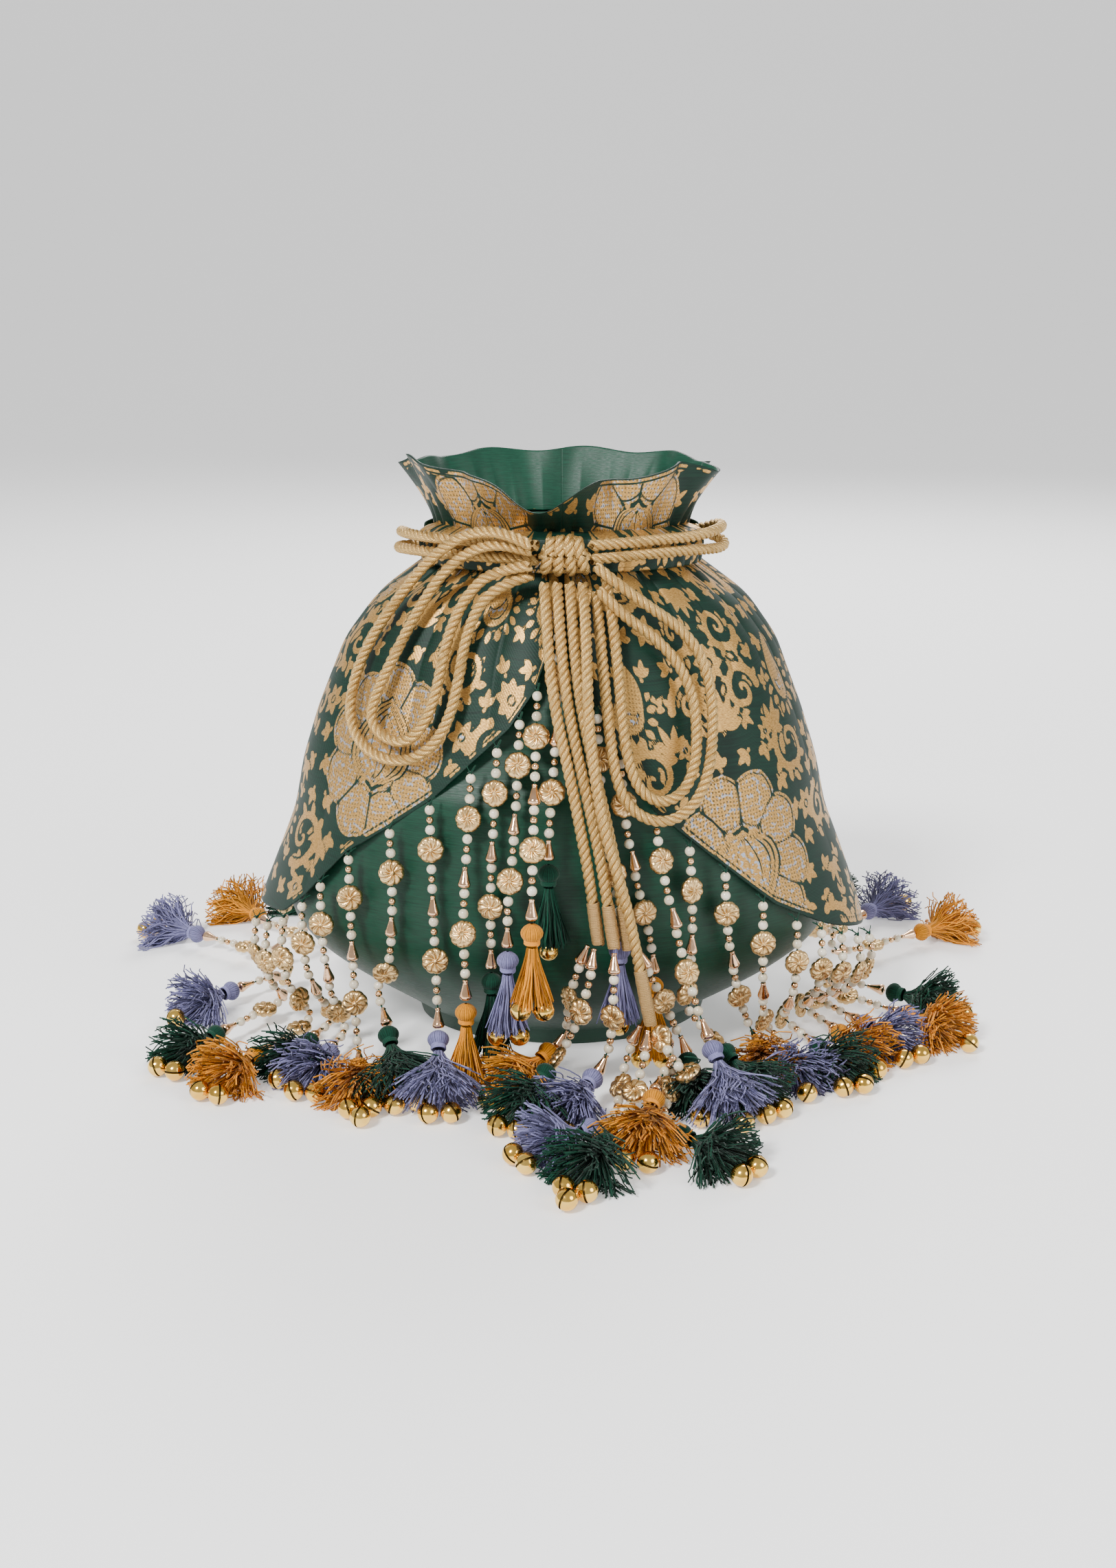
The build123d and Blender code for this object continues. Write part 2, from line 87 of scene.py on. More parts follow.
LEADS = {
    "lead_left_upper": [(-49.6, 8, 181.6), (-53.6, 4.6, 183.4), (-57.6, 0, 186), (-59, -7, 187.2),
                        (-54.5, -18, 187.4), (-45.5, -28.5, 187.4), (-32, -37.5, 187.4), (-19, -44, 187.2),
                        (-8.2, -46.2, 187)],
    "lead_left_lower": [(-49.6, -8.2, 181.2), (-51, -3.2, 181.2), (-54.6, -0.6, 181.2), (-58.6, -2.2, 181.2),
                        (-59.8, -7.4, 181.3), (-57.2, -13.5, 181.6), (-52, -20.5, 181.9),
                        (-43.5, -29.5, 182.2), (-31, -38, 182.4), (-18.5, -44, 182.2), (-8.2, -46, 182)],
    "lead_right_upper": [(49.6, 8, 185.8), (53.6, 4.6, 187.2), (57.6, 0, 189.2), (59, -7, 189),
                         (54.5, -18, 188.4), (46.5, -27.5, 187.6), (33, -37, 187.8), (21, -43.5, 187.4),
                         (10.2, -46.2, 187)],
    "lead_right_lower": [(49.6, -8.2, 185.8), (51, -3.2, 185.7), (54.6, -0.6, 185.2), (58.6, -2.2, 183.8),
                         (59.8, -7.4, 182.5), (57.2, -13.5, 181.8), (52, -20.5, 182.3), (44.5, -29, 183),
                         (32.5, -37.5, 183.2), (20.5, -44, 182.8), (10.2, -46, 182.3)],
}
LOOPS = {
    "bow_loop_left_outer": [
        (-10.6, -54, 188), (-20, -51.5, 192.8), (-33, -43.5, 191.2), (-46, -36, 181.5), (-57, -33, 168),
        (-67, -34.5, 154), (-73.5, -37.5, 140), (-75.5, -42.5, 127), (-71.5, -50, 118.5), (-63, -57, 114),
        (-53, -62, 114.5), (-44.5, -64, 120), (-38.5, -63.5, 130), (-35.5, -60.5, 142), (-33.5, -55.5, 155),
        (-29, -51.5, 167), (-20.5, -50.5, 174.5), (-10.6, -50.6, 177.4)],
    "bow_loop_left_inner": [
        (-10.6, -50.3, 185.3), (-20, -48.3, 188.2), (-31, -43.6, 185.5), (-41.5, -39.5, 177),
        (-50.5, -41, 163.5), (-58, -46, 149.5), (-65, -48, 136), (-67.5, -50, 126.5), (-62, -55, 121),
        (-54, -60.5, 120.5), (-47.5, -61.5, 127), (-43.5, -59.8, 137), (-41, -56.2, 149), (-38, -52, 160.5),
        (-32, -48.5, 171.3), (-23.5, -49.5, 179), (-10.6, -53.5, 181.2)],
    "bow_loop_right_outer": [
        (11.6, -54.5, 181), (20, -56, 174.5), (29.5, -54.5, 167.5), (40, -51.5, 160), (48, -52, 151),
        (51.8, -56, 138.5), (52.2, -61.5, 125), (50.5, -69, 112), (45.5, -74, 102), (37, -77.5, 97),
        (28, -79, 98.5), (21, -79, 105), (17.7, -77, 115), (16, -72, 128), (14.7, -66.5, 141),
        (13.4, -60.5, 154), (12.5, -54.8, 164), (11.9, -51, 171.5)],
    "bow_loop_right_inner": [
        (12.6, -56.5, 173.2), (21, -57.5, 164.5), (31, -55.5, 157.5), (39.5, -56.5, 149), (45, -58.5, 138.5),
        (46.6, -63, 126), (45.6, -70, 114), (41, -74.5, 106), (33.5, -77, 103.5), (26.5, -78, 108),
        (22.6, -76, 117), (20.7, -70.5, 129), (19.6, -64.5, 142), (18.4, -60, 153.5), (17.4, -55.8, 162.5),
        (16.2, -51.6, 170), (15.2, -49.4, 176.5)],
}
TAILS = {
    "tail_short_left": [(-6, -51, 174.3), (-5.4, -59.5, 165.5), (-4.2, -68, 150), (-2, -74, 134),
                        (2.7, -80.4, 114), (6.3, -83.8, 96), (9.1, -85.2, 81), (10.5, -85.4, 71)],
    "tail_short_middle": [(-1.6, -51, 174.3), (-1, -59.5, 165.5), (0.2, -68.2, 150), (2.4, -73.8, 134),
                          (6.8, -79.8, 114), (10.9, -83.6, 96), (14, -86, 81), (15.6, -87.2, 70.5)],
    "tail_short_right": [(2.8, -51, 174.3), (3.4, -59.5, 165.5), (4.6, -68.1, 150), (6.8, -73.4, 134),
                         (11.4, -79, 114), (15.6, -82.4, 96), (19, -84.6, 80), (20.6, -85.2, 69)],
    "tail_long": [(7.2, -51, 174.3), (8, -61, 165.5), (8.4, -72.5, 150), (8.8, -78.6, 134), (11, -84.6, 114),
                  (14.5, -88, 96), (19.5, -90, 80), (23.6, -90.8, 64), (26.6, -91.2, 48.6)],
}


# ---------------------------------------------------------------- mesh building
class Build:
    """Points, faces, material numbers and point values gathered for one piece, in mm."""

    def __init__(self):
        self.points, self.quads, self.slots, self.values, self.count = [], [], [], {}, 0

    def add(self, points, quads, slot=0, **values):
        self.points.append(points)
        self.quads.append(quads + self.count)
        self.slots.append(np.full(len(quads), slot))
        for name, value in values.items():
            known = self.values.setdefault(name, [])
            known.append((self.count, value))
        self.count += len(points)

    def piece(self, name, materials, body=None):
        points = np.concatenate(self.points) * MM
        quads = np.concatenate(self.quads)
        mesh = bpy.data.meshes.new(name)
        mesh.vertices.add(len(points))
        mesh.vertices.foreach_set("co", points.astype(np.float32).ravel())
        mesh.loops.add(quads.size)
        mesh.loops.foreach_set("vertex_index", quads.astype(np.int32).ravel())
        mesh.polygons.add(len(quads))
        mesh.polygons.foreach_set("loop_start", (np.arange(len(quads)) * 4).astype(np.int32))
        for value_name, parts in self.values.items():
            wide = np.ndim(parts[0][1]) == 2
            whole = np.zeros((self.count, 3) if wide else self.count, np.float32)
            for start, value in parts:
                whole[start:start + len(value)] = value
            kind = "FLOAT_VECTOR" if wide else "FLOAT"
            attribute = mesh.attributes.new(value_name, kind, "POINT")
            attribute.data.foreach_set("vector" if wide else "value", whole.ravel())
        mesh.update(calc_edges=True)
        mesh.validate()
        for material in materials:
            mesh.materials.append(material)
        if len(materials) > 1 and len(mesh.polygons) == len(quads):
            mesh.polygons.foreach_set("material_index", np.concatenate(self.slots).astype(np.int32))
        mesh.polygons.foreach_set("use_smooth", np.ones(len(mesh.polygons), bool))
        piece = bpy.data.objects.new(name, mesh)
        bpy.context.scene.collection.objects.link(piece)
        if body:
            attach(piece, body)
        return piece


def grid(rows, columns, wrap=True):
    """Quads over a grid of points stored row by row."""
    last = columns if wrap else columns - 1
    row, column = np.meshgrid(np.arange(rows - 1), np.arange(last), indexing="ij")
    beside = (column + 1) % columns
    quads = [row * columns + column, row * columns + beside,
             (row + 1) * columns + beside, (row + 1) * columns + column]
    return np.stack(quads, -1).reshape(-1, 4)


def lathe(profile, sides):
    """Points and quads of a profile of (radius, height) turned round the Z axis."""
    radius, height = np.array(profile, float).T
    turn = np.linspace(0, 2 * math.pi, sides, endpoint=False)
    x = radius[:, None] * np.cos(turn)
    y = radius[:, None] * np.sin(turn)
    z = np.repeat(height[:, None], sides, 1)
    return np.stack([x, y, z], -1).reshape(-1, 3), grid(len(profile), sides)


def unit(vector):
    return np.asarray(vector, float) / np.linalg.norm(vector)


def axes(along, hint=(0.0, 0.0, 1.0)):
    """Rows are the world directions of a local frame whose Z points along."""
    z = unit(along)
    hint = np.asarray(hint, float)
    if abs(z @ hint) > 0.97 * np.linalg.norm(hint):
        hint = np.array([1.0, 0.3, 0.0])
    x = unit(hint - z * (hint @ z))
    return np.stack([x, np.cross(z, x), z])


def placed(points, origin, local):
    return points @ local + origin


def transported(path):
    """Two directions across a path at each of its points, carried along it without twist."""
    tangent = np.gradient(path, axis=0)
    tangent /= np.linalg.norm(tangent, axis=1)[:, None]
    first = axes(tangent[0])[0]
    across = [first]
    for direction in tangent[1:]:
        step = across[-1] - direction * (across[-1] @ direction)
        across.append(unit(step))
    across = np.array(across)
    return across, np.cross(tangent, across)


def sweep(path, radius, sides):
    """A round tube along a path; the radius may change along it."""
    across, other = transported(path)
    turn = np.linspace(0, 2 * math.pi, sides, endpoint=False)
    radius = np.broadcast_to(np.asarray(radius, float), (len(path),))
    ring = across[:, None] * np.cos(turn)[None, :, None] + other[:, None] * np.sin(turn)[None, :, None]
    points = path[:, None] + ring * radius[:, None, None]
    return points.reshape(-1, 3), grid(len(path), sides)


def resampled(path, step):
    """The same line with points at an even spacing."""
    gaps = np.linalg.norm(np.diff(path, axis=0), axis=1)
    run = np.concatenate([[0], np.cumsum(gaps)])
    wanted = np.linspace(0, run[-1], max(4, int(run[-1] / step)))
    return np.stack([np.interp(wanted, run, path[:, i]) for i in range(3)], -1)


def islands(node):
    """The points of each separate solid of a CAD node in mm, in the node's own order."""
    mesh = frame["nodes"][node].data
    points = np.empty(len(mesh.vertices) * 3)
    mesh.vertices.foreach_get("co", points)
    points = points.reshape(-1, 3) / MM
    edges = np.empty(len(mesh.edges) * 2, int)
    mesh.edges.foreach_get("vertices", edges)
    _, first, same = np.unique(np.round(points, 3), axis=0, return_index=True, return_inverse=True)
    edges = same.ravel()[edges].reshape(-1, 2)
    label = np.arange(len(first))
    while True:
        low = np.minimum(label[edges[:, 0]], label[edges[:, 1]])
        new = label.copy()
        np.minimum.at(new, edges[:, 0], low)
        np.minimum.at(new, edges[:, 1], low)
        new = new[new]
        if (new == label).all():
            break
        label = new
    order = np.argsort(label, kind="stable")
    cuts = np.nonzero(np.diff(label[order]))[0] + 1
    groups = np.split(order, cuts)
    groups.sort(key=lambda g: first[g].min())
    return [points[first[g]] for g in groups]


def middle(points):
    return (points.min(0) + points.max(0)) / 2


def principal(points):
    """The main directions of a cloud of points, the longest spread last."""
    values, vectors = np.linalg.eigh(np.cov((points - points.mean(0)).T))
    return vectors.T


# ---------------------------------------------------------------- materials
class Shader:
    """A small helper that builds a node material line by line."""

    def __init__(self, name, **sockets):
        self.material = bpy.data.materials.new(name)
        self.material.use_nodes = True
        self.tree = self.material.node_tree
        self.surface = self.tree.nodes["Principled BSDF"]
        self.set(**sockets)

    def set(self, **sockets):
        for name, value in sockets.items():
            socket = self.surface.inputs[name.replace("_", " ")]
            socket.default_value = (*value, 1.0) if isinstance(value, tuple) else value

    def node(self, kind, inputs=None, **settings):
        node = self.tree.nodes.new(kind)
        for name, value in settings.items():
            setattr(node, name, value)
        for key, value in (inputs or {}).items():
            if isinstance(value, bpy.types.NodeSocket):
                self.tree.links.new(value, node.inputs[key])
            elif isinstance(value, tuple) and node.inputs[key].type == "RGBA":
                node.inputs[key].default_value = (*value, 1.0)
            else:
                node.inputs[key].default_value = value
        return node

    def link(self, socket, name):
        self.tree.links.new(socket, self.surface.inputs[name])

    def attribute(self, name, vector=False):
        node = self.node("ShaderNodeAttribute", attribute_name=name)
        return node.outputs["Vector" if vector else "Fac"]

    def scaled(self, vector, scale):
        node = self.node("ShaderNodeVectorMath", {0: vector, 1: scale}, operation="MULTIPLY")
        return node.outputs[0]

    def noise(self, vector, scale=1.0, detail=2.0):
        inputs = {"Vector": vector, "Scale": scale, "Detail": detail}
        return self.node("ShaderNodeTexNoise", inputs).outputs["Fac"]

    def wave(self, vector, scale, direction="X", distortion=0.0):
        inputs = {"Vector": vector, "Scale": scale, "Distortion": distortion}
        return self.node("ShaderNodeTexWave", inputs, bands_direction=direction).outputs["Fac"]

    def math(self, operation, a, b=0.0):
        return self.node("ShaderNodeMath", {0: a, 1: b}, operation=operation).outputs[0]

    def range(self, value, low, high, to_low=0.0, to_high=1.0):
        inputs = {"Value": value, "From Min": low, "From Max": high, "To Min": to_low, "To Max": to_high}
        return self.node("ShaderNodeMapRange", inputs).outputs[0]

    def mix(self, factor, a, b):
        node = self.node("ShaderNodeMix", data_type="RGBA")
        for key, value in (("Factor", factor), ("A", a), ("B", b)):
            socket = [s for s in node.inputs if s.name == key and (s.type == "RGBA") == (key != "Factor")][0]
            if isinstance(value, bpy.types.NodeSocket):
                self.tree.links.new(value, socket)
            else:
                socket.default_value = (*value, 1.0) if isinstance(value, tuple) else value
        return [s for s in node.outputs if s.type == "RGBA"][0]

    def bump(self, height, strength, distance=0.0003):
        node = self.node("ShaderNodeBump", {"Height": height, "Strength": strength, "Distance": distance})
        self.link(node.outputs["Normal"], "Normal")
        return self


def silk(name, colour, bright):
    """Dupion silk: slubs along the weft, a fine warp, and a soft sheen."""
    s = Shader(name, Roughness=0.5, Sheen_Weight=0.08, Sheen_Roughness=0.35, Specular_IOR_Level=0.3)
    cloth = s.attribute("cloth", True)
    slub = s.noise(s.scaled(cloth, (0.11, 1.9, 1.0)), 1.0, 3.0)
    fine = s.noise(s.scaled(cloth, (0.35, 5.0, 1.0)), 1.0, 2.0)
    patch = s.noise(s.scaled(cloth, (0.02, 0.02, 1.0)), 1.0, 2.0)
    warp = s.wave(s.scaled(cloth, (1.0, 1.0, 1.0)), 0.9)
    tone = s.math("ADD", s.math("MULTIPLY", slub, 0.6), s.math("MULTIPLY", fine, 0.4))
    tone = s.math("ADD", tone, s.math("MULTIPLY", s.math("SUBTRACT", patch, 0.5), 0.35))
    s.link(s.mix(s.range(tone, 0.32, 0.72), colour, bright), "Base Color")
    s.link(s.range(fine, 0.3, 0.7, 0.38, 0.56), "Roughness")
    height = s.math("ADD", s.math("MULTIPLY", slub, 0.8), s.math("MULTIPLY", warp, 0.12))
    return s.bump(height, 0.22).material


def brocade(name):
    """Green satin with gold motifs, silver specks and dark outlines, from each point's distances."""
    s = Shader(name, Specular_IOR_Level=0.25)
    cloth = s.attribute("cloth", True)
    gold_distance = s.attribute("gold")
    ragged = s.math("SUBTRACT", s.noise(cloth, 2.2, 1.0), 0.5)
    edge = s.math("ADD", gold_distance, s.math("MULTIPLY", ragged, 0.5))
    inside = s.range(edge, 0.12, -0.12)
    line = s.range(s.attribute("line"), 0.55, 0.3)
    twill = s.wave(cloth, 0.42, "DIAGONAL")
    weft = s.wave(cloth, 0.62, "Y")
    dots = s.math("MULTIPLY", s.wave(cloth, 0.22, "X"), s.wave(cloth, 0.22, "Y"))
    hatch = s.math("MULTIPLY", s.attribute("hatch"), s.range(dots, 0.42, 0.62))
    cover = s.math("SUBTRACT", inside, s.math("MULTIPLY", hatch, 0.85))
    cover = s.math("MULTIPLY", s.math("MAXIMUM", cover, 0.0), s.math("SUBTRACT", 1.0, line))
    speck = s.range(s.noise(cloth, 0.55, 2.0), 0.55, 0.60)
    silver = s.math("MULTIPLY", s.attribute("silver"), speck)
    worn = s.noise(s.scaled(cloth, (0.7, 3.5, 1.0)), 1.0, 2.0)
    gold = s.mix(s.range(worn, 0.3, 0.7), (0.30, 0.155, 0.040), (0.66, 0.40, 0.125))
    metal = s.mix(silver, gold, (0.38, 0.42, 0.50))
    slub = s.noise(s.scaled(cloth, (0.06, 2.0, 1.0)), 1.0, 2.0)
    ground = s.mix(s.range(slub, 0.3, 0.7), (0.0006, 0.0115, 0.0065), (0.0016, 0.024, 0.0135))
    s.link(s.mix(cover, ground, metal), "Base Color")
    s.link(s.math("MULTIPLY", cover, 0.75), "Metallic")
    s.link(s.range(cover, 0.0, 1.0, 0.55, 0.42), "Roughness")
    height = s.math("ADD", cover, s.math("MULTIPLY", s.math("ADD", twill, weft), 0.16))
    return s.bump(height, 0.5, 0.00025).material


def metallic(name, colour, dark, roughness, grain=900.0, strength=0.12):
    """Cast or plated metal with slight colour drift and fine wear."""
    s = Shader(name, Metallic=1.0, Roughness=roughness)
    place = s.node("ShaderNodeTexCoord").outputs["Object"]
    drift = s.noise(place, 140.0, 2.0)
    wear = s.noise(place, grain, 3.0)
    s.link(s.mix(s.range(drift, 0.3, 0.75), dark, colour), "Base Color")
    s.link(s.range(wear, 0.3, 0.75, roughness * 0.75, roughness * 1.5), "Roughness")
    return s.bump(wear, strength, 0.0001).material


def pearl():
    s = Shader("pearl_glass", Roughness=0.22, Coat_Weight=0.5, Coat_Roughness=0.12, Subsurface_Weight=0.1)
    place = s.node("ShaderNodeTexCoord").outputs["Object"]
    drift = s.noise(place, 260.0, 2.0)
    s.link(s.mix(s.range(drift, 0.3, 0.7), (0.52, 0.42, 0.28), (0.80, 0.71, 0.56)), "Base Color")
    s.link(s.range(s.noise(place, 1500.0, 2.0), 0.3, 0.7, 0.18, 0.32), "Roughness")
    return s.material


def cord_gold(name, bright=(0.80, 0.53, 0.19), dark=(0.20, 0.105, 0.026)):
    """Gilt filament yarn: fine bright filaments that wind round each ply."""
    s = Shader(name, Metallic=0.7, Roughness=0.42)
    yarn = s.attribute("yarn", True)
    filament = s.wave(yarn, 1.0, "DIAGONAL")
    broad = s.noise(s.scaled(yarn, (0.5, 3.0, 1.0)), 1.0, 2.0)
    # partly painted shade: the colour darkens in the troughs of the filament wave, the grooves that the bump
    # sinks; the broad noise is the yarn's own tone
    tone = s.math("ADD", s.math("MULTIPLY", filament, 0.55), s.math("MULTIPLY", broad, 0.45))
    s.link(s.mix(s.range(tone, 0.22, 0.68), dark, bright), "Base Color")
    s.link(s.range(broad, 0.3, 0.7, 0.32, 0.5), "Roughness")
    return s.bump(filament, 0.5, 0.0002).material


def thread(name, colour):
    """Matt cotton thread whose tone varies from thread to thread."""
    s = Shader(name, Roughness=0.85, Sheen_Weight=0.1, Sheen_Roughness=0.5, Specular_IOR_Level=0.15)
    place = s.node("ShaderNodeTexCoord").outputs["Object"]
    fuzz = s.noise(place, 1400.0, 2.0)
    tone = s.math("ADD", s.attribute("tone"), s.math("MULTIPLY", s.math("SUBTRACT", fuzz, 0.5), 0.5))
    dark = tuple(c * 0.42 for c in colour)
    bright = tuple(min(1.0, c * 1.35) for c in colour)
    s.link(s.mix(s.range(tone, 0.1, 0.9), dark, bright), "Base Color")
    return s.bump(fuzz, 0.3, 0.0002).material


SILK = silk("green_dupion", (0.0008, 0.021, 0.0105), (0.0022, 0.052, 0.026))
LINING = silk("green_lining", (0.0012, 0.034, 0.017), (0.0032, 0.070, 0.036))
BROCADE = brocade("zari_brocade")
GILT_CORD = cord_gold("gilt_cord")
WIRE = cord_gold("gilt_wire", (0.86, 0.60, 0.27), (0.30, 0.17, 0.06))
PEARL = pearl()
GILT = metallic("gilt_bead", (0.92, 0.60, 0.34), (0.72, 0.42, 0.20), 0.16)
CHAMPAGNE = metallic("champagne_rosette", (0.80, 0.56, 0.27), (0.58, 0.37, 0.15), 0.30, 1600.0, 0.2)
ROSE_GOLD = metallic("rose_gold_drop", (0.93, 0.62, 0.40), (0.74, 0.44, 0.24), 0.13)
BRASS = metallic("bell_brass", (0.98, 0.66, 0.17), (0.80, 0.46, 0.08), 0.14)
# painted shade: a dark brass for the ball inside each bell, which stands for the shade seen through the slit
BELL_SHADE_BRASS = metallic("bell_painted_shade", (0.10, 0.06, 0.015), (0.04, 0.02, 0.006), 0.5)
THREAD_COLOURS = {
    "green": thread("thread_green", (0.0035, 0.040, 0.022)),
    "ochre": thread("thread_ochre", (0.62, 0.235, 0.010)),
    "lavender": thread("thread_lavender", (0.185, 0.180, 0.340)),
}
SEWING = THREAD_COLOURS["green"]


# ---------------------------------------------------------------- brocade pattern, mm on the flat cloth
TILE_WIDTH, TILE_HEIGHT = 118.0, 148.0


def wrapped(values, period):
    return (values + period / 2) % period - period / 2


class Pattern:
    """Distances from points of the cloth to the motifs; negative is inside."""

    def __init__(self, u, v):
        self.u, self.v = u, v
        self.gold = np.full(u.shape, 9.0)
        self.line = np.full(u.shape, 9.0)
        self.hatch = np.zeros(u.shape)
        self.silver = np.zeros(u.shape)

    def local(self, u, v, angle=0.0, flip=1.0):
        du = wrapped(self.u - u, TILE_WIDTH)
        dv = wrapped(self.v - v, TILE_HEIGHT)
        c, s = math.cos(math.radians(angle)), math.sin(math.radians(angle))
        return (du * c + dv * s) * flip, -du * s + dv * c

    def paint(self, distance, outline=False, hatch=0.0, silver=0.0):
        inside = distance < 0
        self.gold = np.minimum(self.gold, distance)
        self.hatch = np.where(inside, hatch, self.hatch)
        self.silver = np.where(inside, silver, self.silver)
        if outline:
            self.line = np.where(inside, np.abs(distance), np.minimum(self.line, np.abs(distance)))

    def clear(self, distance):
        self.gold = np.maximum(self.gold, -distance)

    def leaf(self, x, y, length, width, angle=0.0):
        """A pointed leaf from the local origin."""
        c, s = math.cos(math.radians(angle)), math.sin(math.radians(angle))
        along, across = x * c + y * s, -x * s + y * c
        share = np.clip(along / length, 0, 1)
        beyond = np.maximum(np.maximum(-along, along - length), 0)
        return np.abs(across) - width * np.sin(math.pi * share) ** 0.8 + beyond

    def scroll(self, u, v, angle, flip, size, turns=1.35, width=1.5):
        """A spiral stem that thins towards its curled end, with acanthus leaves on its outside."""
        x, y = self.local(u, v, angle, flip)
        best = np.full(x.shape, 99.0)
        for t in np.linspace(0, 1, 34):
            turn = t * turns * 2 * math.pi
            reach = size * (1 - t) ** 0.8
            cx, cy = reach * math.cos(turn), reach * math.sin(turn)
            best = np.minimum(best, np.hypot(x - cx, y - cy) - width * (1.35 - 0.9 * t))
        self.paint(best)
        for t in np.linspace(0.02, 0.42, 6):
            turn = t * turns * 2 * math.pi
            reach = size * (1 - t) ** 0.8
            cx, cy = reach * math.cos(turn), reach * math.sin(turn)
            self.paint(self.leaf(x - cx, y - cy, size * 0.5, size * 0.13, math.degrees(turn) + 42))

    def flower(self, u, v, size, petals=6, turn=0.0):
        x, y = self.local(u, v, turn)
        for i in range(petals):
            self.paint(self.leaf(x, y, size, size * 0.27, 360 * i / petals), hatch=0.2)
        self.paint(np.hypot(x, y) - size * 0.22, outline=True, silver=1.0)

    def spray(self, u, v, angle, size, leaves=5, spread=150.0):
        """A fan of acanthus leaves."""
        x, y = self.local(u, v, angle)
        for i in range(leaves):
            lean = 90 + spread * (i / (leaves - 1) - 0.5)
            length = size * (1 - 0.35 * abs(2 * i / (leaves - 1) - 1))
            self.paint(self.leaf(x, y, length, size * 0.13, lean))

    def teardrop(self, x, y, size):
        """A drop with its point at +y."""
        share = np.clip((y + size * 0.75) / (size * 2.1), 0, 1)
        width = size * 0.92 * np.sin(math.pi * share ** 0.72) ** 0.75
        beyond = np.maximum(np.maximum(-(y + size * 0.75), y - size * 1.35), 0)
        return np.abs(x) - width + beyond

    def lotus(self, u, v, size, turn=0.0):
        """A ring of scalloped petals round a double-outlined drop with a leaf inside."""
        x, y = self.local(u, v, turn)
        petals = []
        for i in range(9):
            angle = math.radians(90 + 40 * i)
            cx, cy = 0.66 * size * math.cos(angle), 0.74 * size * math.sin(angle)
            petals.append(np.hypot(x - cx, y - cy) - 0.335 * size)
        petals = np.sort(np.stack(petals), axis=0)
        self.paint(petals[0], hatch=0.75, silver=0.8)
        near = (petals[0] < 0.3) & (petals[1] < 2.5)
        self.line = np.where(near, (petals[1] - petals[0]) * 0.5, self.line)
        self.line = np.minimum(self.line, np.abs(petals[0] + 1.3) + 0.06)
        drop = self.teardrop(x, y, size * 0.44)
        self.clear(drop - 3.0)
        self.paint(drop - 1.9)
        self.line = np.where(drop < 2.5, np.minimum(np.abs(drop), np.abs(drop + 2.4)), self.line)
        self.hatch = np.where(drop < 0, 0.55, self.hatch)
        self.silver = np.where(drop < -1.9, 1.0, self.silver)
        leaf = self.leaf(x, y + size * 0.3, size * 0.78, size * 0.17, 90)
        self.line = np.where(leaf < 0.4, np.minimum(np.abs(leaf), np.abs(x) + 0.1), self.line)
        self.hatch = np.where(leaf < 0, 0.0, self.hatch)

    def paisley(self, u, v, size, angle, flip=1.0):
        """A curled drop with a serrated edge and a silver crescent."""
        x, y = self.local(u, v, angle, flip)
        body = np.full(x.shape, 99.0)
        for t in np.linspace(0, 1, 16):
            cx = size * (0.0 + 0.75 * t ** 2.4)
            cy = size * (-0.25 + 1.25 * t - 0.35 * t ** 3)
            body = np.minimum(body, np.hypot(x - cx, y - cy) - size * 0.43 * (1 - t) ** 0.75)
        for i in range(11):
            turn = math.radians(-150 + 24 * i)
            cx, cy = 0.5 * size * math.sin(turn), size * (-0.25 - 0.5 * math.cos(turn))
            self.paint(self.leaf(x - cx, y - cy, size * 0.3, size * 0.085, math.degrees(turn) - 90))
        self.clear(body - 1.1)
        self.paint(body, outline=True, hatch=0.5)
        outer = np.hypot(x, y + 0.22 * size) - 0.27 * size
        crescent = np.maximum(outer, 0.24 * size - np.hypot(x, y - 0.02 * size))
        self.line = np.where(crescent < 0.5, np.abs(crescent), self.line)
        self.silver = np.where(crescent < 0, 1.0, self.silver)

    def fill_ground(self):
        """Small leaves and buds wherever the large motifs leave the ground bare."""
        before = self.gold.copy()
        self.gold = np.full(before.shape, 9.0)
        across, up = 10, 12
        for i in range(across):
            for j in range(up):
                u = (i + 0.5 * (j % 2)) * TILE_WIDTH / across
                v = j * TILE_HEIGHT / up
                x, y = self.local(u, v, 67 * i + 41 * j)
                for lean in (-48, 0, 48):
                    leaf = self.leaf(x, y + 2.5, 6.6 - 0.03 * abs(lean), 1.35, 90 + lean)
                    self.gold = np.minimum(self.gold, leaf)
                self.gold = np.minimum(self.gold, np.hypot(x, y + 3.6) - 0.9)
        self.gold = np.minimum(before, np.maximum(self.gold, 1.0 - before))

    def draw(self, turned):
        """One repeat of the cloth: medallions, paisleys, leaf sprays, scrolls and small flowers."""
        turn = 180.0 if turned else 0.0
        for side in (1.0, -1.0):
            self.scroll(side * 35, 36, 90 + side * 20, side, 12)
            self.scroll(side * 36, -40, -90 + side * 15, -side, 12)
            self.scroll(side * 14, 60, 10, side, 9.5)
            self.scroll(side * 13, -64, 170, -side, 9.5)
            self.scroll(side * 50, 8, 90, side, 8)
            self.spray(side * 22, -38, 180 + side * 35, 12)
            self.spray(side * 25, 44, side * -30, 12)
            self.spray(side * 47, -14, 180, 10)
            self.paisley(side * 42, 62, 17, side * 24, side)
            self.flower(side * 38, 12, 6.5)
            self.flower(side * 20, 44, 4.2, 5)
            self.flower(side * 30, -60, 6.5)
        self.paisley(59, -44, 16, 180)
        self.flower(59, 26, 8, 8)
        self.spray(0, 48, 0, 15, 7)
        self.spray(0, -46, 180, 13, 7)
        self.flower(0, 72, 7.5, 8)
        self.fill_ground()
        self.lotus(0, 0, 31, turn)
        return self

    def values(self):
        return {"gold": np.clip(self.gold, -4, 4).ravel(), "line": np.clip(self.line, 0, 4).ravel(),
                "hatch": self.hatch.ravel(), "silver": self.silver.ravel()}


